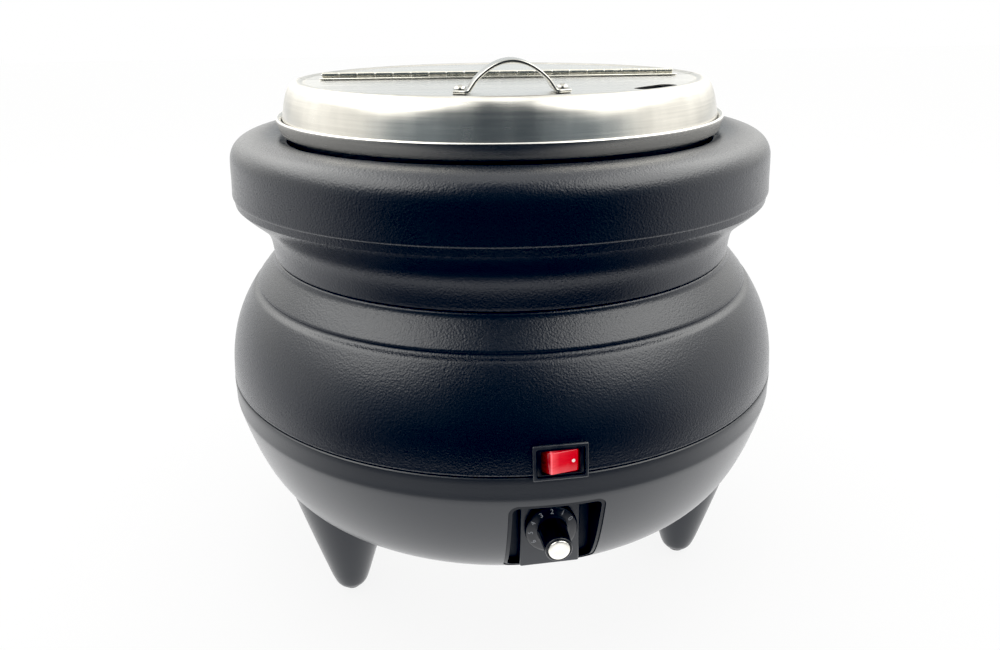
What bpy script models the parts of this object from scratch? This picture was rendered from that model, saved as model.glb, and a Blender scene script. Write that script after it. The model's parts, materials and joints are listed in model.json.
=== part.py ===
"""Soup kettle: a round, double-walled counter-top kettle on three cone feet.

Frame: origin on the table under the kettle's axis, +Z up, front (knob and
switch) facing -Y.  All driving dimensions are in millimetres and are scaled to
metres when a mesh is made.
"""
import math

import bpy
import bmesh
from mathutils import Matrix, Vector

MM = 0.001
GAP = 0.35              # clearance between separate pieces
SEG = 28                # facets round every large turned piece

# ------------------------------------------------------------- dimensions
BODY_R = 168.5          # largest radius of the body
WALL = 2.6              # moulded wall
BOWL_TOP = 133.8        # seam between belly and base
BELLY_TOP = 203.8       # seam between neck and belly
COLLAR_TOP = 272.0
COLLAR_BORE = 123.4
LEG_R = 124.5           # leg circle
LEG_AZ = (-59.0, 59.0, 180.0)
LEG_TOP = 84.0
LEG_TIP_R = 8.3
LEG_TAPER = 0.31
TANK_R = 119.0
TANK_BOTTOM = 77.0
FLANGE_Z = 261.4
POT_R = 114.0
POT_BOTTOM = 86.0
POT_RIM_R = 128.2
POT_RIM_Z = 279.7
LID_R = 124.8
LID_TOP = 298.3
LID_FOOT = 279.3
LID_FLAT_R = 111.5
LID_T = 1.0
LID_TURN = -5.6         # the loose lid sits a little askew on the pot
HINGE_Z = 300.4
HINGE_HALF = 102.0
KNUCKLE_R = 1.5
PIN_R = 0.6
FLAP_CUT = 0.4
KNOB_Z = 93.0
BOSS_Y = -150.0
RECESS_Y = -143.0
SWITCH_Z = 141.5
SWITCH_Y = -167.2
SWITCH_TILT = 7.0
GLAND_Z = 91.0

for old in list(bpy.data.objects):
    bpy.data.objects.remove(old, do_unlink=True)

kettle = bpy.data.collections.new("soup_kettle")
cutters = bpy.data.collections.new("cutters")
bpy.context.scene.collection.children.link(kettle)
bpy.context.scene.collection.children.link(cutters)


# --------------------------------------------------------------- materials
def material(name, colour, rough, metal=0.0, alpha=1.0):
    mat = bpy.data.materials.new(name)
    mat.use_nodes = True
    bsdf = mat.node_tree.nodes["Principled BSDF"]
    bsdf.inputs["Base Color"].default_value = (*colour, 1.0)
    bsdf.inputs["Roughness"].default_value = rough
    bsdf.inputs["Metallic"].default_value = metal
    bsdf.inputs["Alpha"].default_value = alpha
    mat.diffuse_color = (*colour, 1.0)
    return mat


MATS = {
    "body_black": material("body_black", (0.028, 0.034, 0.046), 0.55),
    "base_black": material("base_black", (0.045, 0.050, 0.056), 0.42),
    "stainless": material("stainless", (0.62, 0.60, 0.57), 0.26, 1.0),
    "aluminium": material("aluminium", (0.80, 0.80, 0.79), 0.30, 1.0),
    "black_plastic": material("black_plastic", (0.012, 0.012, 0.014), 0.38),
    "red_lens": material("red_lens", (0.75, 0.02, 0.03), 0.18),
    "rubber": material("rubber", (0.02, 0.02, 0.02), 0.85),
    "wool": material("wool", (0.72, 0.66, 0.42), 0.95),
    "steel": material("steel", (0.45, 0.45, 0.46), 0.40, 1.0),
    "brass": material("brass", (0.70, 0.52, 0.22), 0.35, 1.0),
    "ceramic": material("ceramic", (0.80, 0.78, 0.72), 0.60),
}


# ----------------------------------------------------------------- helpers
def link(name, mesh, mat, loc=(0, 0, 0), rot=(0, 0, 0), parent=None, cutter=False):
    obj = bpy.data.objects.new(name, mesh)
    obj.location = [v * MM for v in loc]
    obj.rotation_euler = [math.radians(v) for v in rot]
    if parent is not None:
        obj.parent = parent
    if cutter:
        cutters.objects.link(obj)
        obj.hide_render = True
        obj.display_type = 'WIRE'
    else:
        kettle.objects.link(obj)
        mesh.materials.append(MATS[mat])
    return obj


def pivot(name, loc, rot=(0, 0, 0)):
    empty = bpy.data.objects.new(name, None)
    empty.location = [v * MM for v in loc]
    empty.rotation_euler = [math.radians(v) for v in rot]
    cutters.objects.link(empty)
    return empty


def smooth(mesh, angle=35.0):
    mesh.shade_smooth()
    mesh.set_sharp_from_angle(angle=math.radians(angle))


def turned(name, profile, mat=None, closed=False, seg=SEG, loc=(0, 0, 0),
           rot=(0, 0, 0), parent=None, cutter=False):
    """Profile of (radius, height) turned about Z, outer side running down."""
    bm = bmesh.new()
    verts = [bm.verts.new((r * MM, 0, z * MM)) for r, z in profile]
    for a, b in zip(verts, verts[1:]):
        bm.edges.new((a, b))
    if closed:
        bm.edges.new((verts[-1], verts[0]))
    mesh = bpy.data.meshes.new(name)
    bm.to_mesh(mesh)
    bm.free()
    obj = link(name, mesh, mat, loc, rot, parent, cutter)
    screw = obj.modifiers.new("turn", 'SCREW')
    screw.axis = 'Z'
    screw.angle = math.tau
    screw.steps = seg
    screw.render_steps = seg
    screw.use_merge_vertices = True
    screw.merge_threshold = 0.00001
    screw.use_smooth_shade = True
    return obj


def block(name, size, mat=None, loc=(0, 0, 0), rot=(0, 0, 0), parent=None,
          bevel=0.0, segments=2, cutter=False, corner=0.0, along=1):
    """A box; corner rounds only the four edges that run along one axis."""
    bm = bmesh.new()
    bmesh.ops.create_cube(bm, size=1.0)
    bmesh.ops.scale(bm, vec=[s * MM for s in size], verts=bm.verts)
    if corner:
        edges = [e for e in bm.edges
                 if abs((e.verts[0].co - e.verts[1].co).normalized()[along]) > 0.9]
        bmesh.ops.bevel(bm, geom=edges, offset=corner * MM, segments=3, profile=0.5,
                        affect='EDGES')
    mesh = bpy.data.meshes.new(name)
    bm.to_mesh(mesh)
    bm.free()
    obj = link(name, mesh, mat, loc, rot, parent, cutter)
    if bevel:
        bev = obj.modifiers.new("edge", 'BEVEL')
        bev.width = bevel * MM
        bev.segments = segments
        bev.limit_method = 'ANGLE'
    return obj


def rod(name, radius, length, mat=None, loc=(0, 0, 0), rot=(0, 0, 0), seg=24,
        parent=None, cutter=False, bevel=0.0):
    bm = bmesh.new()
    bmesh.ops.create_cone(bm, cap_ends=True, segments=seg, radius1=radius * MM,
                          radius2=radius * MM, depth=length * MM)
    mesh = bpy.data.meshes.new(name)
    bm.to_mesh(mesh)
    bm.free()
    smooth(mesh)
    obj = link(name, mesh, mat, loc, rot, parent, cutter)
    if bevel:
        bev = obj.modifiers.new("edge", 'BEVEL')
        bev.width = bevel * MM
        bev.segments = 1
        bev.limit_method = 'ANGLE'
        bev.angle_limit = math.radians(50)
    return obj


def wire(name, points, radius, mat, parent=None):
    curve = bpy.data.curves.new(name, 'CURVE')
    curve.dimensions = '3D'
    spline = curve.splines.new('POLY')
    spline.points.add(len(points) - 1)
    for p, co in zip(spline.points, points):
        p.co = (co[0] * MM, co[1] * MM, co[2] * MM, 1.0)
    curve.bevel_depth = radius * MM
    curve.bevel_resolution = 2
    curve.use_fill_caps = True
    return link(name, curve, mat, parent=parent)


def boolean(obj, other, op='DIFFERENCE'):
    mod = obj.modifiers.new(op.lower(), 'BOOLEAN')
    mod.operation = op
    mod.object = other
    mod.solver = 'EXACT'
    return mod


def hide_tool(obj):
    """Turns a solid that only shapes another one into a cutter."""
    for coll in list(obj.users_collection):
        coll.objects.unlink(obj)
    cutters.objects.link(obj)
    obj.hide_render = True
    obj.display_type = 'WIRE'
    return obj


def inset(path, dist):
    """The path moved by dist to its left (towards the axis of an outer side)."""
    out = []
    for i, (r, z) in enumerate(path):
        a = path[max(i - 1, 0)]
        b = path[min(i + 1, len(path) - 1)]
        dr, dz = b[0] - a[0], b[1] - a[1]
        n = math.hypot(dr, dz)
        out.append((r + dz / n * dist, z - dr / n * dist))
    return out


def lining(path, dist):
    """Inner side of a shell whose outer side is path, with half the points."""
    inner = inset(path, dist)
    return [inner[0]] + inner[2:-2:2] + [inner[-1]]


def polar(radius, az):
    a = math.radians(az)
    return radius * math.sin(a), -radius * math.cos(a)


# ------------------------------------------------------- shape of the body
def belly_radius(z):
    """Outer radius of the round belly between the base seam and the neck."""
    top, mid, inner = 204.5, 115.0, 135.6
    t = max(0.0, min((z - mid) / (top - mid), 1.0))
    return inner + (BODY_R - inner) * (1.0 - t ** 3.23) ** 1.25


def bowl_radius(z):
    """Outer radius of the base bowl below its widest line."""
    rim, low, inner = 121.0, 58.0, 89.2
    t = max(0.0, min((rim - z) / (rim - low), 1.0))
    return inner + (BODY_R + 0.2 - inner) * (1.0 - t) ** (1.0 / 6.0)


def neck_radius(z):
    """Cove between the collar's lower edge and the neck seam."""
    return 136.88 + 23.37 / (1.0 + math.exp(-(z - 230.1) / 5.1))


def bowl_side(offset=0.0):
    """Outer side of the bowl from its widest line to its flat bottom."""
    side = [(bowl_radius(z), z) for z in (121.0, 112.0, 101.0, 89.0, 79.0, 71.0, 66.5, 64.0)]
    side += [(136.5, 60.0), (126.0, 56.4), (112.0, 54.3)]
    return [(r + offset, z - max(offset, 0.0) * 0.6) for r, z in side]


# ---------------------------------------------------------------- base bowl
bowl_out = [(BODY_R - 0.3, BOWL_TOP), (BODY_R, BOWL_TOP - 1.0), (BODY_R, 124.0)]
bowl_out += bowl_side() + [(90.0, 54.0)]
bowl_in = lining(bowl_out, WALL)
bowl_in[0] = (BODY_R - 0.3 - WALL, BOWL_TOP)
bowl_in[-1] = (90.0, 54.0 + WALL)
base_bowl = turned("base_bowl", bowl_out + bowl_in[::-1], "base_black", closed=True)

# room for the control recess, the legs' screws, the cover's screws, the gland
recess_cut = block("cut_recess", (48.0, 60.0, 51.5), loc=(0, RECESS_Y - 28.5, 92.25),
                   corner=5.0, cutter=True)
boolean(base_bowl, recess_cut)
for i, az in enumerate(LEG_AZ):
    x, y = polar(LEG_R, az)
    boolean(base_bowl, rod("cut_leg_hole_%d" % i, 2.5, 20.0, loc=(x, y, 58.0), seg=12, cutter=True))
for i, az in enumerate((0.0, 120.0, 240.0)):
    x, y = polar(93.5, az)
    boolean(base_bowl, rod("cut_cover_hole_%d" % i, 1.7, 12.0, loc=(x, y, 55.0), seg=10, cutter=True))
boolean(base_bowl, rod("cut_gland_hole", 5.0, 30.0, loc=(0, 160.0, GLAND_Z), rot=(90, 0, 0),
                       seg=16, cutter=True))

# ------------------------------------------------------ recess, boss, index
recess = block("control_recess", (48.0 - 2 * GAP, 30.0, 51.5 - 2 * GAP), "base_black",
               loc=(0, RECESS_Y - 13.5, 92.25), corner=4.7)
hollow = block("cut_recess_hollow", (44.0, 40.0, 47.5), loc=(0, RECESS_Y - 20.0, 92.25),
               corner=3.2, cutter=True)
boolean(recess, hollow)
envelope_path = [(0, 140.0), (BODY_R - 0.6, 140.0), (BODY_R - 0.6, 124.0)]
envelope_path += bowl_side(-0.6) + [(0, 54.0)]
envelope = turned("cut_bowl_envelope", envelope_path, cutter=True)
boolean(recess, envelope, 'INTERSECT')
boolean(recess, rod("cut_bushing_floor", 5.1, 20.0, loc=(0, RECESS_Y, KNOB_Z), rot=(90, 0, 0),
                    seg=20, cutter=True))

boss_depth = RECESS_Y - GAP - BOSS_Y
boss = block("control_boss", (31.0, boss_depth, 46.4), "base_black",
             loc=(0, BOSS_Y + boss_depth / 2, 92.2), bevel=0.5, segments=1)
boolean(boss, rod("cut_bushing_boss", 5.1, 20.0, loc=(0, BOSS_Y, KNOB_Z), rot=(90, 0, 0),
                  seg=20, cutter=True))
block("dial_index", (11.5, 1.0, 5.0), "black_plastic", loc=(-4.4, BOSS_Y - 0.5 - GAP, 109.6),
      bevel=0.2, segments=1)

# -------------------------------------------------------------- belly shell
belly_out = [(belly_radius(z), z) for z in (BELLY_TOP, 200.0, 195.0, 191.0)]
belly_out += [(belly_radius(188.4), 188.4), (belly_radius(187.6) - 0.9, 187.6),
              (belly_radius(186.2) - 0.9, 186.2), (belly_radius(185.2), 185.2)]
belly_out += [(belly_radius(z), z) for z in (179.0, 171.0, 161.0, 149.0)]
belly_out += [(BODY_R - 0.2, BOWL_TOP + GAP)]
belly_in = lining(belly_out, WALL)
belly_in[0] = (belly_out[0][0] - 3.0, BELLY_TOP)
belly_in[-1] = (BODY_R - 0.2 - WALL, BOWL_TOP + GAP)
belly = turned("belly_shell", belly_out + belly_in[::-1], "body_black", closed=True)

# ------------------------------------------------------------- collar shell
collar_out = [(COLLAR_BORE + 0.6, 265.2), (COLLAR_BORE, 266.6), (COLLAR_BORE + 0.8, 268.0),
              (127.6, 269.7), (132.0, 271.3),
              (137.5, COLLAR_TOP), (143.5, 271.2), (148.5, 269.6), (152.2, 266.9),
              (154.4, 263.0), (155.0, 258.0), (155.5, 249.0), (156.0, 241.6), (155.6, 239.4)]
collar_out += [(neck_radius(z), z) for z in (236.5, 232.0, 227.0, 221.0, 213.0)]
collar_out += [(136.9, BELLY_TOP + GAP)]
collar_in = inset(collar_out, WALL)
collar_in = [(COLLAR_BORE + 3.4, 264.9)] + collar_in[3:-1] + [(136.9 - WALL, BELLY_TOP + GAP)]
turned("collar_shell", collar_out + collar_in[::-1], "body_black", closed=True)

# ------------------------------------------------- water tank and its seal
tank = [(0, TANK_BOTTOM + 1.0), (104.0, TANK_BOTTOM + 1.0), (112.5, TANK_BOTTOM + 2.8),
        (117.2, TANK_BOTTOM + 8.0), (TANK_R - 1.0, 92.0), (TANK_R - 1.0, FLANGE_Z),
        (131.0, FLANGE_Z), (131.0, FLANGE_Z - 1.0), (TANK_R, FLANGE_Z - 1.0), (TANK_R, 91.5),
        (118.0, TANK_BOTTOM + 7.6), (113.0, TANK_BOTTOM + 1.9), (104.2, TANK_BOTTOM),
        (0, TANK_BOTTOM)]
turned("water_tank", tank, "stainless")
turned("tank_gasket", [(130.0, 262.3), (130.0, 261.7), (124.0, 261.7), (124.0, 262.3)],
       "rubber", closed=True)
turned("insulation_blanket", [(130.5, 256.0), (130.5, 128.0), (120.0, 128.0), (120.0, 256.0)],
       "wool", closed=True)

# ------------------------------------------------- heater under the tank
arc = []
for i in range(19):
    a = math.radians(12 + i * (336 / 18))
    arc.append((75 * math.sin(a), -75 * math.cos(a), TANK_BOTTOM - 3.7))


def lead(az):
    x, y = polar(86.0, az)
    return [(x, y, TANK_BOTTOM - 3.7), (x, y, TANK_BOTTOM - 15.0)]


wire("heating_element", lead(12)[::-1] + arc + lead(348), 3.2, "steel")
turned("element_clamp_plate", [(81.0, 69.6), (81.0, 68.4), (3.6, 68.4), (3.6, 69.6)], "aluminium",
       closed=True)
rod("clamp_stud", 3.0, 19.0, "steel", loc=(0, 0, 67.0), seg=16)
nut = rod("clamp_nut", 5.8, 4.0, "steel", loc=(0, 0, 66.0), seg=6)
boolean(nut, rod("cut_nut", 3.4, 10.0, loc=(0, 0, 66.0), seg=16, cutter=True))
rod("thermal_cutout", 8.0, 7.0, "ceramic", loc=(30.0, 0, 64.5), seg=20, bevel=0.8)
block("terminal_block", (36.0, 14.0, 10.0), "ceramic", loc=(0, 67.0, 59.6), bevel=0.8, segments=1)

# ------------------------------------------------- thermostat and its sensor
thermostat = block("thermostat_body", (34.0, 17.0, 32.0), "black_plastic",
                   loc=(0, -132.4, KNOB_Z), bevel=1.0, segments=1)
bushing = hide_tool(rod("tool_bushing", 4.7, 15.0, "brass", loc=(0, -145.0, KNOB_Z),
                        rot=(90, 0, 0), seg=20))
boolean(thermostat, bushing, 'UNION')
boolean(thermostat, rod("cut_spindle", 3.3, 30.0, loc=(0, -147.0, KNOB_Z), rot=(90, 0, 0),
                        seg=16, cutter=True))
tnut = rod("thermostat_nut", 7.6, 1.7, "brass", loc=(0, BOSS_Y - GAP - 0.85, KNOB_Z),
           rot=(90, 0, 0), seg=6)
boolean(tnut, rod("cut_thermostat_nut", 5.05, 6.0, loc=(0, BOSS_Y, KNOB_Z), rot=(90, 0, 0),
                  seg=20, cutter=True))
sensor = []
for i in range(8):                       # capillary that dips and rises to the bulb
    t = i / 7
    x, y = polar(129.0 - 3.0 * t, 9.5 + 22.0 * t)
    sensor.append((x, y, 84.0 - 4.0 * math.sin(math.pi * t)))
wire("sensor_capillary", sensor, 0.9, "brass")
bx, by = polar(124.6, 44.0)
rod("sensor_bulb", 3.0, 50.0, "brass", loc=(bx, by, 84.0), rot=(0, 90, 44.0), seg=12, bevel=0.8)

# ---------------------------------------------------------------- the legs
leg_path = [(0, LEG_TOP), (LEG_TIP_R + LEG_TAPER * LEG_TOP, LEG_TOP)]
leg_path += [(LEG_TIP_R + LEG_TAPER * z, z) for z in (62.0, 34.0, 9.0)]
leg_path += [(9.9, 5.6), (8.2, 3.0), (5.9, 1.25), (0, 1.25)]
grown = [(0, 140.0), (BODY_R + 0.3, 140.0), (BODY_R + 0.3, 124.0)]
grown += bowl_side(0.4) + [(0, 53.7)]
bowl_cut = turned("cut_leg_top", grown, cutter=True)
for side, az in zip(("left", "right", "rear"), LEG_AZ):
    x, y = polar(LEG_R, az)
    leg = turned("leg_" + side, leg_path, "base_black", seg=24, loc=(x, y, 0))
    boolean(leg, bowl_cut)
    boolean(leg, rod("cut_pad_%s" % side, 2.4, 10.0, loc=(x, y, 1.6), seg=12, cutter=True))
    boolean(leg, rod("cut_leg_screw_%s" % side, 2.5, 30.0, loc=(x, y, 45.0), seg=12, cutter=True))
    turned("foot_pad_" + side, [(0, 6.0), (2.0, 6.0), (2.0, 0.9), (5.2, 0.9), (5.2, 0.0), (0, 0.0)],
           "rubber", seg=12, loc=(x, y, 0))
    turned("leg_screw_" + side, [(0, 65.0), (3.6, 64.2), (4.6, 62.2), (4.6, 61.2), (2.0, 61.2),
                                 (2.0, 33.0), (0, 31.5)], "steel", seg=8, loc=(x, y, 0))

# -------------------------------------------------------------- under cover
cover = turned("bottom_cover", [(0, 53.6), (96.5, 53.6), (97.5, 52.9), (96.5, 52.2), (0, 52.2)],
               "steel")
for i, az in enumerate((0.0, 120.0, 240.0)):
    x, y = polar(93.5, az)
    boolean(cover, rod("cut_cover_%d" % i, 1.7, 6.0, loc=(x, y, 53.0), seg=10, cutter=True))
    turned("cover_screw_" + "abc"[i], [(0, 60.0), (1.35, 59.2), (1.35, 51.9), (3.2, 51.9),
                                       (2.6, 50.6), (0, 50.2)], "steel", seg=8, loc=(x, y, 0))

# ------------------------------------------------------------------ switch
sw = pivot("switch_frame", (0, SWITCH_Y, SWITCH_Z), (-SWITCH_TILT, 0, 0))
surround = block("switch_surround", (26.4, 2.2, 17.6), "black_plastic", loc=(0, -1.5, 0),
                 parent=sw, bevel=0.6, segments=2)
boolean(surround, block("cut_surround", (23.4, 8.0, 14.6), loc=(0, -1.5, 0), parent=sw,
                        cutter=True))
housing = block("switch_housing", (22.6, 1.3, 13.8), "black_plastic", loc=(0, -1.15, 0), parent=sw)
can = hide_tool(block("tool_switch_can", (20.4, 19.0, 12.6), "black_plastic", loc=(0, 8.5, 0),
                      parent=sw))
boolean(housing, can, 'UNION')
boolean(housing, block("cut_switch_well", (18.2, 12.0, 11.4), loc=(0, 1.0, 0), parent=sw,
                       cutter=True))
boolean(belly, block("cut_belly_switch", (21.2, 30.0, 13.4), loc=(0, 2.0, 0), parent=sw,
                     cutter=True))

# rocker: a wedge whose left end stands out, turned about its upright pin
outline = [(-8.3, 0.8), (-5.0, -3.4), (-4.2, -3.7), (2.0, -2.5), (8.6, -0.9),
           (8.3, 2.2), (4.0, 4.6), (-4.0, 4.6), (-8.3, 3.0)]
bm = bmesh.new()
ring = [bm.verts.new((x * MM, y * MM, -5.35 * MM)) for x, y in outline]
face = bm.faces.new(ring)
ext = bmesh.ops.extrude_face_region(bm, geom=[face])
bmesh.ops.translate(bm, vec=(0, 0, 10.7 * MM),
                    verts=[v for v in ext["geom"] if isinstance(v, bmesh.types.BMVert)])
bmesh.ops.recalc_face_normals(bm, faces=bm.faces)
rocker_mesh = bpy.data.meshes.new("switch_rocker")
bm.to_mesh(rocker_mesh)
bm.free()
rocker = link("switch_rocker", rocker_mesh, "red_lens", parent=sw)
rv = rocker.modifiers.new("edge", 'BEVEL')
rv.width = 0.25 * MM
rv.segments = 1
rv.limit_method = 'ANGLE'

# -------------------------------------------------------------------- knob
kn = pivot("knob_axis", (0, BOSS_Y, KNOB_Z), (90, 0, 0))   # local +Z points outwards
turned("knob", [(0, 19.2), (5.7, 19.2), (5.7, 20.1), (6.4, 20.1), (6.8, 19.5), (7.5, 5.6),
                (8.3, 4.5), (12.7, 3.9), (13.5, 2.9), (13.5, 0.9), (9.6, 0.9), (9.6, 2.8),
                (3.35, 2.8), (3.35, 16.6), (0, 16.6)], "black_plastic", seg=20, parent=kn)
rod("knob_cap", 5.35, 1.0, "aluminium", loc=(0, 0, 20.0), seg=20, parent=kn)
rod("knob_spindle", 3.0, 26.0, "steel", loc=(0, 0, 3.0), seg=16, parent=kn)

# ------------------------------------------------------ mains cord at the back
gland = block("cord_gland", (15.0, 6.6, 15.0), "black_plastic", loc=(0, 167.2, GLAND_Z),
              bevel=1.4, segments=2)
neck = hide_tool(rod("tool_gland_neck", 4.5, 16.0, "black_plastic", loc=(0, 158.0, GLAND_Z),
                     rot=(90, 0, 0), seg=16))
boolean(gland, neck, 'UNION')
boolean(gland, rod("cut_gland_cord", 2.95, 12.0, loc=(0, 167.0, GLAND_Z - 5.0), seg=12,
                   cutter=True))
cord = [(0, 167.0, GLAND_Z - 0.5), (0, 167.0, 60.0), (0, 167.0, 26.0)]
for i in range(1, 6):                    # sweeps from hanging to lying on the table
    a = math.radians(18 * i)
    cord.append((-22.0 * (1 - math.cos(a)), 167.0 - 3.0 * math.sin(a), 26.0 - 23.0 * math.sin(a)))
for i in range(1, 9):                    # lies in a wide bend behind the rear leg
    a = math.radians(10.0 + i * 4.5)
    cord.append((-138.0 * math.sin(a), 138.0 * math.cos(a) + 8.0 * (1 - i / 8), 3.0))
wire("power_cord", cord, 2.6, "rubber")
px, py = cord[-1][0], cord[-1][1]
heading = math.atan2(cord[-1][1] - cord[-2][1], cord[-1][0] - cord[-2][0])
plug_at = (px + 20.6 * math.cos(heading), py + 20.6 * math.sin(heading), 9.0)
pl = pivot("plug_frame", plug_at, (0, 0, math.degrees(heading)))
block("plug_body", (40.0, 26.0, 17.6), "black_plastic", parent=pl, bevel=4.5, segments=3)
for tag, side in (("a", -1), ("b", 1)):
    rod("plug_pin_" + tag, 2.2, 19.0, "brass", loc=(29.9, side * 9.0, 0), rot=(0, 90, 0),
        seg=12, parent=pl, bevel=0.5)

# --------------------------------------------------------------- insert pot
pot = [(0, POT_BOTTOM + 1.0), (98.0, POT_BOTTOM + 1.0), (107.5, POT_BOTTOM + 3.4),
       (POT_R - 1.0, POT_BOTTOM + 12.0), (POT_R - 1.0, 259.2), (119.2, 265.2), (120.6, 272.6),
       (126.5, 280.1), (127.4, 280.4), (POT_RIM_R, POT_RIM_Z), (126.2, 272.2), (125.3, 272.4),
       (126.9, 278.5), (126.3, 278.4), (121.6, 272.2), (120.2, 264.8), (POT_R, 258.6),
       (POT_R, POT_BOTTOM + 11.6), (108.0, POT_BOTTOM + 2.5), (98.2, POT_BOTTOM),
       (0, POT_BOTTOM)]
turned("insert_pot", pot, "stainless")

# ------------------------------------------------------------------- the lid
lid = pivot("lid_frame", (0, 0, 0), (0, 0, LID_TURN))
lid_out = [(0, LID_TOP), (LID_FLAT_R, LID_TOP), (114.2, 299.1), (116.2, 299.0), (118.6, 297.6),
           (120.6, 295.0), (122.2, 291.0), (123.4, 286.6), (124.3, 282.0), (LID_R, LID_FOOT)]
lid_in = inset(lid_out, LID_T)
lid_in[0] = (0, LID_TOP - LID_T)
lid_in[-1] = (LID_R - LID_T, LID_FOOT)
whole_lid = lid_out + lid_in[::-1]
for name, sign in (("lid_rear", 1), ("lid_flap", -1)):
    half = turned(name, whole_lid, "stainless", parent=lid)
    keep = block("cut_" + name, (300.0, 150.0, 60.0), loc=(0, sign * (75.0 + FLAP_CUT), 290.0),
                 parent=lid, cutter=True)
    boolean(half, keep, 'INTERSECT')
    if sign < 0:
        sx, sy = polar(105.0, 44.5)
        slot = block("cut_ladle_slot", (31.0, 9.5, 60.0), loc=(sx, sy, 290.0), rot=(0, 0, 44.5),
                     parent=lid, corner=4.0, along=2, cutter=True)
        boolean(half, slot)

count = 6
pitch = 2 * HINGE_HALF / count
bore = rod("cut_hinge_bore", PIN_R + 0.35, 260.0, loc=(0, 0, HINGE_Z), rot=(0, 90, 0), seg=8,
           parent=lid, cutter=True)
for name, sign, first in (("hinge_leaf_rear", 1, 0), ("hinge_leaf_flap", -1, 1)):
    leaf = block(name, (2 * HINGE_HALF, 7.6, 0.8), "stainless",
                 loc=(0, sign * 6.3, HINGE_Z - 1.4), parent=lid)
    for k in range(first, count, 2):
        cx = -HINGE_HALF + pitch * (k + 0.5)
        web = block("tool_web_%s_%d" % (name, k), (pitch - 0.8, 3.0, 0.8), loc=(cx, sign * 2.4, HINGE_Z - 1.4),
                    parent=lid, cutter=True)
        knuckle = rod("tool_knuckle_%s_%d" % (name, k), KNUCKLE_R, pitch - 0.8, loc=(cx, 0, HINGE_Z),
                      rot=(0, 90, 0), seg=10, parent=lid, cutter=True)
        boolean(leaf, web, 'UNION')
        boolean(leaf, knuckle, 'UNION')
    boolean(leaf, bore)
rod("hinge_pin", PIN_R, 2 * HINGE_HALF + 1.0, "steel", loc=(0, 0, HINGE_Z), rot=(0, 90, 0),
    seg=8, parent=lid)

# handle: a bent strip standing on the flap, riveted through its two feet
HANDLE_Y = -93.0
strip_t, strip_w = 1.5, 18.0
base_z = LID_TOP + GAP + strip_t / 2
centre = [(-27.5, base_z), (-21.5, base_z)]
for i in range(1, 12):
    t = i / 12
    x = -19.5 + 39.0 * t
    centre.append((x, base_z + 13.6 * math.sin(math.pi * t) ** 0.72))
centre += [(21.5, base_z), (27.5, base_z)]
upper = inset([(x, z) for x, z in centre], -strip_t / 2)
lower = inset([(x, z) for x, z in centre], strip_t / 2)
bm = bmesh.new()
rows = []
for y in (HANDLE_Y - strip_w / 2, HANDLE_Y + strip_w / 2):
    rows.append(([bm.verts.new((x * MM, y * MM, z * MM)) for x, z in upper],
                 [bm.verts.new((x * MM, y * MM, z * MM)) for x, z in lower]))
(ua, la), (ub, lb) = rows
for i in range(len(centre) - 1):
    bm.faces.new((ua[i], ua[i + 1], ub[i + 1], ub[i]))
    bm.faces.new((la[i], lb[i], lb[i + 1], la[i + 1]))
    bm.faces.new((ua[i], la[i], la[i + 1], ua[i + 1]))
    bm.faces.new((ub[i], ub[i + 1], lb[i + 1], lb[i]))
bm.faces.new((ua[0], ub[0], lb[0], la[0]))
bm.faces.new((ua[-1], la[-1], lb[-1], ub[-1]))
bmesh.ops.recalc_face_normals(bm, faces=bm.faces)
handle_mesh = bpy.data.meshes.new("lid_handle")
bm.to_mesh(handle_mesh)
bm.free()
handle = link("lid_handle", handle_mesh, "stainless", parent=lid)
flap = bpy.data.objects["lid_flap"]
for tag, x in (("left", -24.2), ("right", 24.2)):
    hole = rod("cut_rivet_" + tag, 1.9, 12.0, loc=(x, HANDLE_Y, 298.0), seg=10, parent=lid,
               cutter=True)
    boolean(handle, hole)
    boolean(flap, hole)
    turned("handle_rivet_" + tag, [(0, 302.2), (2.0, 301.8), (3.0, 300.6), (1.5, 300.6),
                                   (1.5, 296.9), (2.8, 296.9), (2.2, 295.9), (0, 295.7)],
           "stainless", seg=10, loc=(x, HANDLE_Y, 0), parent=lid)
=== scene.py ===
"""Looks for the soup kettle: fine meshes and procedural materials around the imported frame."""
import json
import math

import bmesh
import bpy
import numpy as np
from mathutils import Matrix, Vector


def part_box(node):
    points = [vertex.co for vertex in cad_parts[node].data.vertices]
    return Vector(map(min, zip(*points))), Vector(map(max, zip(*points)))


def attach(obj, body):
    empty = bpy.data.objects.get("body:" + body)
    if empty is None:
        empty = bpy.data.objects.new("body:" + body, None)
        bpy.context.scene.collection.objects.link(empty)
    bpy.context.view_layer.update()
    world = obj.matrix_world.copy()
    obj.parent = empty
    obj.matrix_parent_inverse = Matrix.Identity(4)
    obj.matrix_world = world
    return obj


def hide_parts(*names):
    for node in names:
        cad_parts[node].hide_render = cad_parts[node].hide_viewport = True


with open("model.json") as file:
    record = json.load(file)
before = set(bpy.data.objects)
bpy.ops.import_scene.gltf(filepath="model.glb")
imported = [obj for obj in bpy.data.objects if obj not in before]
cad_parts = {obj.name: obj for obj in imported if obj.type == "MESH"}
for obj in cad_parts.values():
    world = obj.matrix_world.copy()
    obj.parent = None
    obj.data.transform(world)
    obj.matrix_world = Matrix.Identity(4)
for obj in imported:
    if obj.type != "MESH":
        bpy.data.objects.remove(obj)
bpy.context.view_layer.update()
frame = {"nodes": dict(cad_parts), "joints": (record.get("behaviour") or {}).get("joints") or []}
NODES = frame["nodes"]
JOINTS = {j["name"]: j for j in frame["joints"]}
MM = 0.001
SEG = 192


# ------------------------------------------------------------ measures (mm)
def lo(node):
    return [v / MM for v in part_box(node)[0]]


def hi(node):
    return [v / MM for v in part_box(node)[1]]


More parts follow.
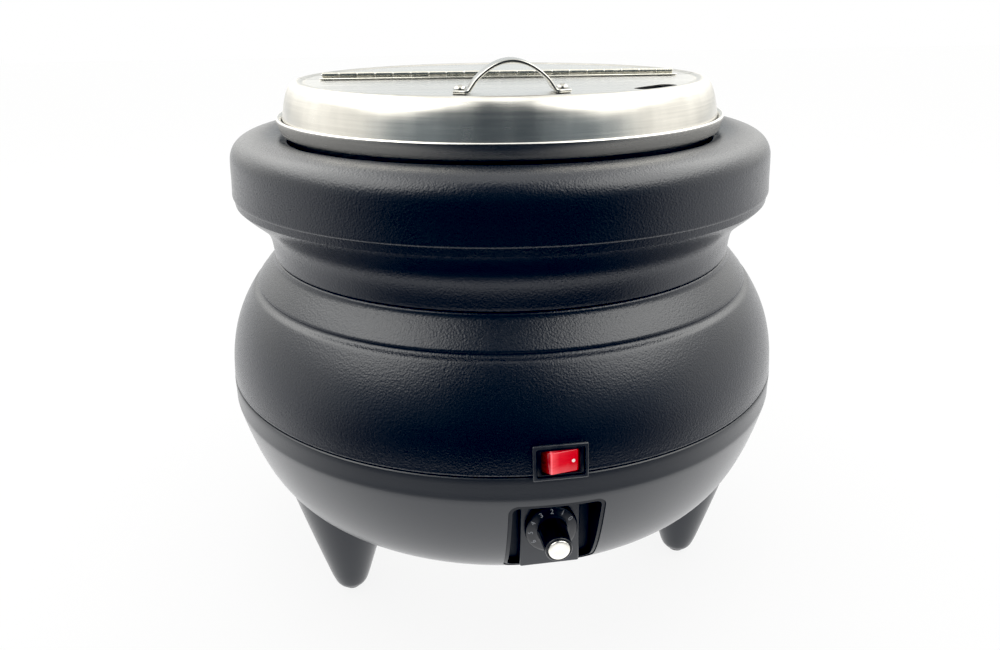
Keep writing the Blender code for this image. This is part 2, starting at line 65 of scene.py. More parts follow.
BODY_R = hi("belly_shell")[0] + 0.2
SEAM_LOW = lo("belly_shell")[2]              # belly / base seam
BOWL_TOP = hi("base_bowl")[2]
BELLY_TOP = hi("belly_shell")[2]
COLLAR_LOW = lo("collar_shell")[2]
COLLAR_TOP = hi("collar_shell")[2]
BOWL_FLOOR = lo("base_bowl")[2]
RIM_R = hi("insert_pot")[0]
RIM_TOP = hi("insert_pot")[2]
POT_FLOOR = lo("insert_pot")[2]
TANK_FLOOR = lo("water_tank")[2]
FLANGE = hi("water_tank")[2]
LID_TOP = hi("lid_rear")[2]
LID_FOOT = lo("lid_rear")[2]
flap_axis = JOINTS["flap_hinge"]["axis"]
HINGE_Z = JOINTS["flap_hinge"]["pos_m"][2] / MM
LID_TURN = math.atan2(-flap_axis[1], -flap_axis[0])
dial = JOINTS["dial_turn"]["pos_m"]
KNOB = [v / MM for v in dial]
rock_axis = JOINTS["rocker_tilt"]["axis"]
TILT = math.atan2(-rock_axis[1], -rock_axis[2])
rock = [v / MM for v in JOINTS["rocker_tilt"]["pos_m"]]
SWITCH = (0.0, rock[1] - 4.0 * math.cos(TILT), rock[2] + 4.0 * math.sin(TILT))

LID_M = Matrix.Rotation(LID_TURN, 4, 'Z')
SW_M = Matrix.Translation([v * MM for v in SWITCH]) @ Matrix.Rotation(-TILT, 4, 'X')
KNOB_M = Matrix.Translation([v * MM for v in KNOB]) @ Matrix.Rotation(math.radians(90), 4, 'X')


# --------------------------------------------------------------- node tools
class Tree:
    """Short hand for building a material's nodes."""

    def __init__(self, name):
        self.mat = bpy.data.materials.new(name)
        self.mat.use_nodes = True
        self.t = self.mat.node_tree
        self.bsdf = self.t.nodes["Principled BSDF"]
        self.coord = self.t.nodes.new("ShaderNodeTexCoord")

    def link(self, a, b):
        self.t.links.new(a, b)

    def set(self, **values):
        for k, v in values.items():
            self.bsdf.inputs[k.replace("_", " ")].default_value = v

    def mapped(self, scale=(1, 1, 1), source="Object"):
        m = self.t.nodes.new("ShaderNodeMapping")
        m.inputs["Scale"].default_value = scale
        self.link(self.coord.outputs[source], m.inputs["Vector"])
        return m.outputs["Vector"]

    def noise(self, scale, detail=2.0, rough=0.5, vector=None):
        n = self.t.nodes.new("ShaderNodeTexNoise")
        n.inputs["Scale"].default_value = scale
        n.inputs["Detail"].default_value = detail
        n.inputs["Roughness"].default_value = rough
        self.link(vector or self.coord.outputs["Object"], n.inputs["Vector"])
        return n.outputs["Fac"]

    def voronoi(self, scale, feature="SMOOTH_F1", vector=None):
        n = self.t.nodes.new("ShaderNodeTexVoronoi")
        n.feature = feature
        n.inputs["Scale"].default_value = scale
        self.link(vector or self.coord.outputs["Object"], n.inputs["Vector"])
        return n.outputs["Distance"]

    def ramp(self, fac, stops):
        r = self.t.nodes.new("ShaderNodeValToRGB")
        while len(r.color_ramp.elements) < len(stops):
            r.color_ramp.elements.new(0.5)
        for e, (p, c) in zip(r.color_ramp.elements, stops):
            e.position = p
            e.color = (*c, 1.0) if len(c) == 3 else c
        self.link(fac, r.inputs["Fac"])
        return r.outputs["Color"]

    def remap(self, fac, a, b, c, d):
        m = self.t.nodes.new("ShaderNodeMapRange")
        for k, v in zip(("From Min", "From Max", "To Min", "To Max"), (a, b, c, d)):
            m.inputs[k].default_value = v
        self.link(fac, m.inputs["Value"])
        return m.outputs["Result"]

    def math(self, op, a, b=None, clamp=False):
        m = self.t.nodes.new("ShaderNodeMath")
        m.operation = op
        m.use_clamp = clamp
        for i, v in enumerate((a, b)):
            if v is None:
                continue
            if isinstance(v, (int, float)):
                m.inputs[i].default_value = v
            else:
                self.link(v, m.inputs[i])
        return m.outputs[0]

    def mix(self, fac, a, b, blend="MIX"):
        m = self.t.nodes.new("ShaderNodeMix")
        m.data_type = 'RGBA'
        m.blend_type = blend
        for key, v in (("Factor", fac), ("A", a), ("B", b)):
            sockets = [s for s in m.inputs if s.name == key and s.enabled]
            s = sockets[-1] if key != "Factor" else sockets[0]
            if isinstance(v, (int, float)):
                s.default_value = v
            elif isinstance(v, (tuple, list)):
                s.default_value = (*v, 1.0)
            else:
                self.link(v, s)
        return [o for o in m.outputs if o.enabled][0]

    def xyz(self, vector=None):
        s = self.t.nodes.new("ShaderNodeSeparateXYZ")
        self.link(vector or self.coord.outputs["Object"], s.inputs[0])
        return s.outputs

    def bump(self, height, strength, distance, normal=None):
        b = self.t.nodes.new("ShaderNodeBump")
        b.inputs["Strength"].default_value = strength
        b.inputs["Distance"].default_value = distance
        self.link(height, b.inputs["Height"])
        if normal is not None:
            self.link(normal, b.inputs["Normal"])
        self.link(b.outputs["Normal"], self.bsdf.inputs["Normal"])
        return b.outputs["Normal"]


# ----------------------------------------------------------------- materials
def moulded(name, dark, light, rough, grain, strength, spec=0.5, coarse=0.0):
    """Dark moulded plastic: mottled colour, uneven sheen and a fine leather grain."""
    m = Tree(name)
    broad = m.noise(9.0, 3.0, 0.6)
    fleck = m.noise(grain * 1.35, 2.0, 0.7)
    tone = m.math('ADD', m.math('MULTIPLY', broad, 0.55), m.math('MULTIPLY', fleck, 0.45))
    m.link(m.ramp(tone, [(0.32, dark), (0.72, light)]), m.bsdf.inputs["Base Color"])
    m.link(m.remap(m.math('ADD', m.math('MULTIPLY', broad, 0.5), m.math('MULTIPLY', fleck, 0.5)),
                   0.3, 0.7, rough - 0.05, rough + 0.06), m.bsdf.inputs["Roughness"])
    m.set(Specular_IOR_Level=spec)
    cells = m.voronoi(grain)
    fine = m.noise(grain * 0.8, 3.0, 0.6)
    height = m.math('ADD', m.math('MULTIPLY', cells, 0.7), m.math('MULTIPLY', fine, 0.9))
    n = m.bump(height, strength, 0.00035)
    if coarse:
        m.bump(m.noise(55.0, 2.0, 0.5), coarse, 0.002, n)
    return m.mat


def brushed(name, colour, rough, aniso, mode="round", streak=0.35, depth=0.12, bands=0.0):
    """Brushed stainless: streaks run round the axis, or straight across a plate."""
    m = Tree(name)
    m.set(Metallic=1.0, Anisotropic=aniso)
    tan = m.t.nodes.new("ShaderNodeTangent")
    tan.direction_type = 'RADIAL'
    tan.axis = 'Z'
    m.link(tan.outputs[0], m.bsdf.inputs["Tangent"])
    x, y, z = m.xyz()
    if mode == "round":
        rad = m.math('SQRT', m.math('ADD', m.math('MULTIPLY', x, x), m.math('MULTIPLY', y, y)))
        ang = m.math('ARCTAN2', y, x)
        comb = m.t.nodes.new("ShaderNodeCombineXYZ")
        m.link(m.math('MULTIPLY', ang, 1.2), comb.inputs[0])
        m.link(m.math('MULTIPLY', rad, 900.0), comb.inputs[1])
        m.link(m.math('MULTIPLY', z, 900.0), comb.inputs[2])
        lines = m.noise(1.0, 3.0, 0.6, comb.outputs[0])
        comb2 = m.t.nodes.new("ShaderNodeCombineXYZ")
        m.link(m.math('MULTIPLY', ang, 5.0), comb2.inputs[0])
        m.link(m.math('MULTIPLY', rad, 260.0), comb2.inputs[1])
        m.link(m.math('MULTIPLY', z, 260.0), comb2.inputs[2])
        broad = m.noise(1.0, 2.0, 0.5, comb2.outputs[0])
    else:
        lines = m.noise(1.0, 3.0, 0.6, m.mapped((14.0, 1100.0, 1100.0)))
        broad = m.noise(1.0, 2.0, 0.5, m.mapped((9.0, 240.0, 240.0)))
    both = m.math('ADD', m.math('MULTIPLY', lines, 0.6), m.math('MULTIPLY', broad, 0.4))
    if bands:
        comb3 = m.t.nodes.new("ShaderNodeCombineXYZ")
        m.link(m.math('MULTIPLY', ang, 7.0), comb3.inputs[0])
        m.link(m.math('MULTIPLY', z, 12.0), comb3.inputs[2])
        upright = m.noise(1.0, 3.0, 0.55, comb3.outputs[0])
        both = m.math('ADD', m.math('MULTIPLY', both, 1.0 - bands), m.math('MULTIPLY', upright, bands))
    a = tuple(c * (1.0 - streak * 0.30) for c in colour)
    b = tuple(min(1.0, c * (1.0 + streak * 0.22)) for c in colour)
    m.link(m.ramp(both, [(0.3, a), (0.7, b)]), m.bsdf.inputs["Base Color"])
    m.link(m.remap(both, 0.3, 0.7, rough * 0.8, rough * 1.25), m.bsdf.inputs["Roughness"])
    m.bump(both, depth, 0.0002)
    return m.mat


def plain_metal(name, colour, rough, scale=260.0):
    m = Tree(name)
    m.set(Metallic=1.0)
    f = m.noise(scale, 3.0, 0.6)
    m.link(m.ramp(f, [(0.3, tuple(c * 0.86 for c in colour)), (0.7, colour)]), m.bsdf.inputs["Base Color"])
    m.link(m.remap(f, 0.3, 0.7, rough * 0.75, rough * 1.3), m.bsdf.inputs["Roughness"])
    m.bump(m.noise(scale * 4, 2.0, 0.6), 0.08, 0.0002)
    return m.mat


def plain_plastic(name, dark, light, rough, grain=1500.0, strength=0.1, spec=0.5):
    m = Tree(name)
    f = m.noise(160.0, 3.0, 0.6)
    m.link(m.ramp(f, [(0.3, dark), (0.75, light)]), m.bsdf.inputs["Base Color"])
    m.link(m.remap(f, 0.3, 0.7, rough * 0.85, rough * 1.15), m.bsdf.inputs["Roughness"])
    m.set(Specular_IOR_Level=spec)
    m.bump(m.noise(grain, 2.0, 0.6), strength, 0.0002)
    return m.mat


M_BODY = moulded("kettle_textured_shell", (0.0014, 0.0026, 0.0062), (0.0044, 0.0068, 0.0125), 0.27,
                 1150.0, 0.40)
M_BASE = moulded("kettle_smooth_base", (0.0060, 0.0074, 0.0098), (0.0110, 0.0128, 0.0155), 0.33,
                 2200.0, 0.10)
M_LEG = moulded("cone_foot_plastic", (0.0022, 0.0030, 0.0046), (0.0050, 0.0064, 0.0088), 0.34,
                2200.0, 0.10, 0.26)
M_DARK = moulded("recess_shadowed_plastic", (0.0012, 0.0015, 0.0024), (0.0030, 0.0036, 0.0050), 0.45,
                 1800.0, 0.10, 0.22)
M_LID = brushed("lid_brushed_round", (0.62, 0.600, 0.55), 0.23, 0.65, "round", 0.75, 0.08, 0.55)
M_TOP = brushed("lid_brushed_flat", (0.70, 0.69, 0.66), 0.26, 0.3, "straight", 0.22, 0.05)
M_POT = brushed("pot_spun_steel", (0.62, 0.61, 0.58), 0.24, 0.5, "round", 0.3, 0.08)
M_HINGE = plain_metal("hinge_bright_steel", (0.72, 0.70, 0.62), 0.22, 500.0)
M_STRIP = brushed("handle_strip_steel", (0.43, 0.42, 0.385), 0.2, 0.0, "straight", 0.25, 0.05)
M_ZINC = plain_metal("zinc_plated_steel", (0.50, 0.50, 0.49), 0.35)
M_ALU = plain_metal("spun_aluminium", (0.80, 0.78, 0.72), 0.24, 700.0)
M_BRASS = plain_metal("plain_brass", (0.74, 0.57, 0.28), 0.3)
M_BLACK = plain_plastic("moulded_black", (0.0022, 0.0022, 0.0026), (0.005, 0.005, 0.0058), 0.30)
M_KNOB = plain_plastic("knob_black", (0.0025, 0.0025, 0.003), (0.005, 0.005, 0.006), 0.30, 1900.0, 0.05)
M_RUBBER = plain_plastic("matt_rubber", (0.006, 0.006, 0.006), (0.014, 0.014, 0.014), 0.8, 1400.0, 0.3, 0.25)
M_WOOL = plain_plastic("mineral_wool", (0.55, 0.48, 0.26), (0.80, 0.74, 0.50), 0.95, 420.0, 0.9, 0.1)
M_CERAMIC = plain_plastic("glazed_white", (0.74, 0.72, 0.66), (0.84, 0.82, 0.77), 0.25, 500.0, 0.05)
M_PRINT = plain_plastic("dial_print", (0.22, 0.23, 0.25), (0.32, 0.33, 0.35), 0.5, 1500.0, 0.05)
M_FRAME = plain_plastic("switch_frame_grey", (0.012, 0.013, 0.016), (0.028, 0.030, 0.034), 0.22, 1500.0, 0.05)
M_DOT = plain_plastic("marker_white", (0.80, 0.74, 0.70), (0.95, 0.90, 0.86), 0.35, 900.0, 0.03)


def red_lens():
    """Clear red key with painted light: a painted pink highlight near its crest, painted shade darkening its low end,
    red over its face, fed to colour and emission.
    """
    m = Tree("lit_red_key")
    v = m.mapped((1, 1, 1), "Object")
    x, y, z = m.xyz(v)
    across = m.remap(x, -0.0086, 0.0086, 0.0, 1.0)
    # painted light: ramp across the key from painted shade at the low end up to a painted pink highlight at the crest,
    # then plain red over the face
    glow = m.ramp(across, [(0.0, (0.004, 0.0, 0.0)), (0.10, (0.045, 0.0, 0.001)), (0.19, (0.30, 0.001, 0.003)),
                           (0.226, (0.95, 0.15, 0.17)), (0.262, (0.62, 0.055, 0.065)), (0.45, (0.50, 0.008, 0.016)),
                           (1.0, (0.43, 0.001, 0.004))])
    streak = m.noise(420.0, 3.0, 0.6, m.mapped((0.5, 1.0, 2.4)))
    tone = m.mix(m.remap(streak, 0.35, 0.75, 0.0, 0.30), glow, (0.22, 0.0, 0.003))
    m.link(tone, m.bsdf.inputs["Base Color"])
    # the painted highlight and shade also drive the emission, so the key glows with them
    m.link(tone, m.bsdf.inputs["Emission Color"])
    m.set(Roughness=0.12, Emission_Strength=0.55, Specular_IOR_Level=0.5)
    m.bump(m.noise(300.0, 2.0, 0.5), 0.04, 0.0003)
    return m.mat


M_RED = red_lens()


# ------------------------------------------------------------ mesh tools
def mesh_object(name, points, faces, mat, matrix=None, sharp=32.0):
    mesh = bpy.data.meshes.new(name)
    mesh.from_pydata([tuple(p) for p in points], [], [tuple(f) for f in faces])
    mesh.update()
    mesh.shade_smooth()
    mesh.set_sharp_from_angle(angle=math.radians(sharp))
    mesh.materials.append(mat)
    obj = bpy.data.objects.new(name, mesh)
    bpy.context.scene.collection.objects.link(obj)
    if matrix is not None:
        obj.matrix_world = matrix
    return obj


def turned(name, profile, mat, closed=False, seg=SEG, matrix=None, centre=(0, 0), sharp=32.0):
    """A profile of (radius, height) in mm turned about Z, outer side running down."""
    prof = [(max(r, 0.0), z) for r, z in profile]
    a = np.linspace(0, math.tau, seg, endpoint=False)
    ca, sa = np.cos(a), np.sin(a)
    points, rings = [], []
    for r, z in prof:
        if r < 1e-6:
            rings.append([len(points)])
            points.append((centre[0] * MM, centre[1] * MM, z * MM))
        else:
            start = len(points)
            points += [((centre[0] + r * c) * MM, (centre[1] + r * s) * MM, z * MM) for c, s in zip(ca, sa)]
            rings.append(list(range(start, start + seg)))
    faces = []
    pairs = list(zip(rings, rings[1:]))
    if closed:
        pairs.append((rings[-1], rings[0]))
    for top, low in pairs:
        for i in range(seg):
            j = (i + 1) % seg
            if len(top) == 1 and len(low) == 1:
                continue
            if len(top) == 1:
                faces.append((top[0], low[i], low[j]))
            elif len(low) == 1:
                faces.append((top[j], top[i], low[0]))
            else:
                faces.append((top[i], low[i], low[j], top[j]))
    return mesh_object(name, points, faces, mat, matrix, sharp)


def soft(path, steps=4, closed=False):
    """Catmull-Rom curve through the path; a point given twice stays a corner."""
    pts = [np.array(p, float) for p in path]
    out = []
    n = len(pts)
    for i in range(n - 1):
        p1, p2 = pts[i], pts[i + 1]
        if np.allclose(p1, p2):
            continue
        p0 = pts[i - 1] if i > 0 and not np.allclose(pts[i - 1], p1) else p1 * 2 - p2
        p3 = pts[i + 2] if i + 2 < n and not np.allclose(pts[i + 2], p2) else p2 * 2 - p1
        for k in range(steps):
            t = k / steps
            q = 0.5 * ((2 * p1) + (p2 - p0) * t + (2 * p0 - 5 * p1 + 4 * p2 - p3) * t * t
                       + (3 * p1 - p0 - 3 * p2 + p3) * t ** 3)
            out.append((float(q[0]), float(q[1])))
    out.append((float(pts[-1][0]), float(pts[-1][1])))
    return out


def inset(path, dist):
    out = []
    for i, (r, z) in enumerate(path):
        a, b = path[max(i - 1, 0)], path[min(i + 1, len(path) - 1)]
        dr, dz = b[0] - a[0], b[1] - a[1]
        n = math.hypot(dr, dz) or 1.0
        out.append((r + dz / n * dist, z - dr / n * dist))
    return out


def box_mesh(name, size, mat, matrix=None, loc=(0, 0, 0), rot=0.0, bevel=0.5, segments=3, sharp=40.0):
    bm = bmesh.new()
    bmesh.ops.create_cube(bm, size=1.0)
    bmesh.ops.scale(bm, vec=[s * MM for s in size], verts=bm.verts)
    if bevel:
        bmesh.ops.bevel(bm, geom=list(bm.edges), offset=bevel * MM, segments=segments, profile=0.5,
                        affect='EDGES')
    bmesh.ops.transform(bm, matrix=Matrix.Translation([v * MM for v in loc]) @ Matrix.Rotation(rot, 4, 'Z'),
                        verts=bm.verts)
    mesh = bpy.data.meshes.new(name)
    bm.to_mesh(mesh)
    bm.free()
    mesh.shade_smooth()
    mesh.set_sharp_from_angle(angle=math.radians(sharp))
    mesh.materials.append(mat)
    obj = bpy.data.objects.new(name, mesh)
    bpy.context.scene.collection.objects.link(obj)
    if matrix is not None:
        obj.matrix_world = matrix
    return obj


def column(size, corner, segments=8, loc=(0, 0, 0), axis=2, rot=0.0):
    """A bare mesh box whose four edges along one axis are rounded; for cutting."""
    bm = bmesh.new()
    bmesh.ops.create_cube(bm, size=1.0)
    bmesh.ops.scale(bm, vec=[s * MM for s in size], verts=bm.verts)
    edges = [e for e in bm.edges if abs((e.verts[0].co - e.verts[1].co).normalized()[axis]) > 0.9]
    if corner:
        bmesh.ops.bevel(bm, geom=edges, offset=corner * MM, segments=segments, profile=0.5, affect='EDGES')
    bmesh.ops.transform(bm, matrix=Matrix.Translation([v * MM for v in loc]) @ Matrix.Rotation(rot, 4, 'Z'),
                        verts=bm.verts)
    mesh = bpy.data.meshes.new("tool")
    bm.to_mesh(mesh)
    bm.free()
    obj = bpy.data.objects.new("tool", mesh)
    bpy.context.scene.collection.objects.link(obj)
    return obj


def peg(radius, length, loc, direction=(0, 0, 1), seg=32):
    bm = bmesh.new()
    bmesh.ops.create_cone(bm, cap_ends=True, segments=seg, radius1=radius * MM, radius2=radius * MM,
                          depth=length * MM)
    turn = Vector((0, 0, 1)).rotation_difference(Vector(direction)).to_matrix().to_4x4()
    bmesh.ops.transform(bm, matrix=Matrix.Translation([v * MM for v in loc]) @ turn, verts=bm.verts)
    mesh = bpy.data.meshes.new("tool")
    bm.to_mesh(mesh)
    bm.free()
    obj = bpy.data.objects.new("tool", mesh)
    bpy.context.scene.collection.objects.link(obj)
    return obj


def cut(obj, tools, op='DIFFERENCE', sharp=32.0, matrix=None):
    """Boolean with each tool, applied at once; the tools are used up."""
    for tool in tools:
        if matrix is not None:
            tool.matrix_world = matrix
        bpy.context.view_layer.update()
        mod = obj.modifiers.new("cut", 'BOOLEAN')
        mod.operation = op
        mod.object = tool
        mod.solver = 'EXACT'
        bpy.context.view_layer.update()
        done = bpy.data.meshes.new_from_object(obj.evaluated_get(bpy.context.evaluated_depsgraph_get()))
        obj.modifiers.clear()
        old = obj.data
        obj.data = done
        bpy.data.meshes.remove(old)
        bpy.data.objects.remove(tool, do_unlink=True)
    bm = bmesh.new()
    bm.from_mesh(obj.data)
    bmesh.ops.remove_doubles(bm, verts=bm.verts, dist=0.000004)
    bmesh.ops.dissolve_degenerate(bm, edges=bm.edges, dist=0.000002)
    bm.to_mesh(obj.data)
    bm.free()
    obj.data.shade_smooth()
    obj.data.set_sharp_from_angle(angle=math.radians(sharp))
    return obj


def finish(obj, body, slot, *nodes):
    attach(obj, body)
    if nodes:
        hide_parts(*nodes)
    return obj


def tube(name, points, radius, mat, sides=24, caps=True, matrix=None):
    """A round tube along 3D points (mm), built ring by ring with a steady frame."""
    p = np.array(points, float)
    t = np.gradient(p, axis=0)
    t /= np.linalg.norm(t, axis=1)[:, None]
    ref = np.array([0.0, 0.0, 1.0]) if abs(t[0][2]) < 0.9 else np.array([1.0, 0.0, 0.0])
    u = np.cross(t[0], ref)
    u /= np.linalg.norm(u)
    verts, faces = [], []
    for i in range(len(p)):
        u = u - t[i] * np.dot(u, t[i])
        u /= np.linalg.norm(u)
        w = np.cross(t[i], u)
        for k in range(sides):
            a = math.tau * k / sides
            verts.append(tuple((p[i] + (u * math.cos(a) + w * math.sin(a)) * radius) * MM))
    for i in range(len(p) - 1):
        for k in range(sides):
            j = (k + 1) % sides
            faces.append((i * sides + k, i * sides + j, (i + 1) * sides + j, (i + 1) * sides + k))
    faces.append(tuple(range(sides))[::-1])
    faces.append(tuple((len(p) - 1) * sides + k for k in range(sides)))
    obj = mesh_object(name, verts, faces, mat, matrix, 45.0)
    bm = bmesh.new()
    bm.from_mesh(obj.data)
    bmesh.ops.recalc_face_normals(bm, faces=bm.faces)
    bm.to_mesh(obj.data)
    bm.free()
    return obj


# ------------------------------------------------------ shape of the shells
def belly_radius(z):
    top, mid, inner = 204.5, 115.0, 135.6
    t = max(0.0, min((z - mid) / (top - mid), 1.0))
    return inner + (BODY_R - inner) * (1.0 - t ** 3.23) ** 1.25


def bowl_radius(z):
    rim, low, inner = 121.0, 58.0, 89.2
    t = max(0.0, min((rim - z) / (rim - low), 1.0))
    return inner + (BODY_R + 0.2 - inner) * (1.0 - t) ** (1.0 / 6.0)


def neck_radius(z):
    return 136.88 + 23.37 / (1.0 + math.exp(-(z - 230.1) / 5.1))


def bowl_side(offset=0.0):
    side = [(bowl_radius(z), z) for z in np.linspace(120.2, 66.0, 28)]
    side += soft([(bowl_radius(66.0), 66.0), (bowl_radius(64.0), 64.0), (136.5, 60.0), (126.0, 56.4),
                  (112.0, BOWL_FLOOR + 0.3), (90.0, BOWL_FLOOR)], 5)[1:]
    return inset(side, -offset) if offset else side


# base bowl with its upright band ------------------------------------------
band = [(BODY_R - 1.5, BOWL_TOP - 0.02), (BODY_R - 0.55, BOWL_TOP - 0.15), (BODY_R - 0.12, BOWL_TOP - 0.6),
        (BODY_R, BOWL_TOP - 1.3), (BODY_R + 0.02, 130.0), (BODY_R + 0.05, 126.0), (BODY_R + 0.1, 122.6),
        (BODY_R + 0.18, 121.5), (BODY_R + 0.12, 121.0)]
outer = band + bowl_side()
inner = inset(outer, 2.6)
inner[0] = (BODY_R - 2.9, BOWL_TOP - 0.02)
inner[-1] = (90.0, BOWL_FLOOR + 2.6)
bowl = turned("kettle_base", outer + inner[::-1], M_BASE, closed=True, sharp=24.0)
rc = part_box("control_recess")
rx = (rc[1].x - rc[0].x) / MM + 0.5
rz0, rz1 = rc[0].z / MM - 0.25, rc[1].z / MM + 0.25
floor_y = KNOB[1] + 7.0
tools = [column((rx, 60.0, rz1 - rz0), 5.0, 8, (0, floor_y - 28.5, (rz0 + rz1) / 2), axis=1)]
for tag in ("left", "right", "rear"):
    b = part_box("leg_screw_" + tag)
    tools.append(peg(2.5, 20.0, ((b[0].x + b[1].x) / 2 / MM, (b[0].y + b[1].y) / 2 / MM, 58.0)))
for tag in "abc":
    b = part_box("cover_screw_" + tag)
    tools.append(peg(1.7, 12.0, ((b[0].x + b[1].x) / 2 / MM, (b[0].y + b[1].y) / 2 / MM, 55.0)))
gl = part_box("cord_gland")
gland_z = (gl[0].z + gl[1].z) / 2 / MM
tools.append(peg(5.0, 30.0, (0, 160.0, gland_z), (0, 1, 0)))
cut(bowl, tools, sharp=24.0)
finish(bowl, "kettle_body", "base_black", "base_bowl")

# belly shell ---------------------------------------------------------------
zs = [v for v in np.linspace(BELLY_TOP - 1.4, 190.2, 12)]
belly_out = [(135.2, BELLY_TOP - 0.05), (136.2, BELLY_TOP), (136.9, BELLY_TOP - 0.35),
             (137.45, BELLY_TOP - 0.95)]
belly_out += [(belly_radius(z) if z < 202.0 else 137.45 + (202.4 - z) * 0.25, z) for z in zs]
g = 187.2
belly_out += [(belly_radius(g + 2.3), g + 2.3), (belly_radius(g + 1.7) - 0.05, g + 1.7),
              (belly_radius(g + 1.1) - 0.55, g + 1.0), (belly_radius(g + 0.6) - 1.25, g + 0.45),
              (belly_radius(g) - 1.55, g - 0.2), (belly_radius(g - 0.8) - 1.45, g - 0.9),
              (belly_radius(g - 1.5) - 0.75, g - 1.6), (belly_radius(g - 2.2) - 0.15, g - 2.2),
              (belly_radius(g - 2.9), g - 2.9)]
belly_out += [(belly_radius(z), z) for z in np.linspace(183.2, SEAM_LOW + 1.6, 34)]
belly_out += [(BODY_R - 0.25, SEAM_LOW + 1.0), (BODY_R - 0.5, SEAM_LOW + 0.35), (BODY_R - 1.2, SEAM_LOW)]
belly_in = inset(belly_out, 2.6)
belly_in[0] = (133.9, BELLY_TOP - 0.05)
belly_in[-1] = (BODY_R - 2.8, SEAM_LOW)
belly_in = [belly_in[0]] + belly_in[5:-3] + [belly_in[-1]]
belly = turned("kettle_belly", belly_out + belly_in[::-1], M_BODY, closed=True, sharp=50.0)
cut(belly, [column((21.4, 30.0, 13.6), 0.8, 3, (0, 2.0, 0), axis=1)], sharp=50.0, matrix=SW_M)
finish(belly, "kettle_body", "body_black", "belly_shell")

# collar with its cove --------------------------------------------------------
bore = 123.4
collar_out = soft([(bore + 0.6, 265.2), (bore, 266.4), (bore + 0.8, 268.1), (127.6, 269.8),
                   (132.0, 271.3), (137.5, COLLAR_TOP), (143.5, 271.3), (148.5, 269.6), (152.2, 266.6),
                   (154.35, 262.4), (155.0, 257.0), (155.3, 251.0), (155.7, 245.0), (156.0, 241.7)], 5)
collar_out += [(155.98, 241.0), (155.75, 240.45), (155.3, 240.1)]
collar_out += [(neck_radius(z) - 0.0, z) for z in np.linspace(236.3, 207.5, 26)]
collar_out += [(137.05, 206.2), (137.0, COLLAR_LOW + 0.9), (136.75, COLLAR_LOW + 0.25), (136.0, COLLAR_LOW)]
collar_in = inset(collar_out, 2.6)
collar_in[0] = (bore + 3.4, 264.9)
collar_in[-1] = (134.3, COLLAR_LOW)
collar_in = [collar_in[0]] + collar_in[9:-4] + [collar_in[-1]]
collar = turned("kettle_collar", collar_out + collar_in[::-1], M_BODY, closed=True, sharp=30.0)
finish(collar, "kettle_body", "body_black", "collar_shell")

# control recess, boss and index ----------------------------------------------
recess = column((rx - 0.5, 30.0, rz1 - rz0 - 0.5), 4.75, 8, (0, floor_y - 13.5, (rz0 + rz1) / 2), axis=1)
recess.name = "dial_recess"
recess.data.materials.append(M_DARK)
shape = [(0, 140.0), (BODY_R - 0.6, 140.0), (BODY_R - 0.6, 121.0)] + inset(bowl_side(), 0.5)[:-1] + \
        [(90.0, BOWL_FLOOR), (0, BOWL_FLOOR)]
env = turned("tool", shape, M_DARK, seg=SEG)
cut(recess, [column((rx - 4.0, 40.0, rz1 - rz0 - 4.0), 3.2, 8, (0, floor_y - 20.0, (rz0 + rz1) / 2), axis=1),
             peg(5.2, 20.0, (0, floor_y, KNOB[2]), (0, 1, 0))])
cut(recess, [env], 'INTERSECT', sharp=28.0)
finish(recess, "kettle_body", "base_black", "control_recess")

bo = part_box("control_boss")
bsz = [(bo[1][i] - bo[0][i]) / MM for i in range(3)]
bct = [(bo[1][i] + bo[0][i]) / 2 / MM for i in range(3)]
boss = box_mesh("dial_boss", bsz, M_BASE, loc=bct, bevel=0.9, segments=4)
cut(boss, [peg(5.2, 30.0, (0, KNOB[1], KNOB[2]), (0, 1, 0))], sharp=40.0)
finish(boss, "kettle_body", "base_black", "control_boss")
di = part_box("dial_index")
index = box_mesh("dial_index_tab", [(di[1][i] - di[0][i]) / MM for i in range(3)], M_BLACK,
                 loc=[(di[1][i] + di[0][i]) / 2 / MM for i in range(3)], bevel=0.35, segments=3)
finish(index, "kettle_body", "black_plastic", "dial_index")

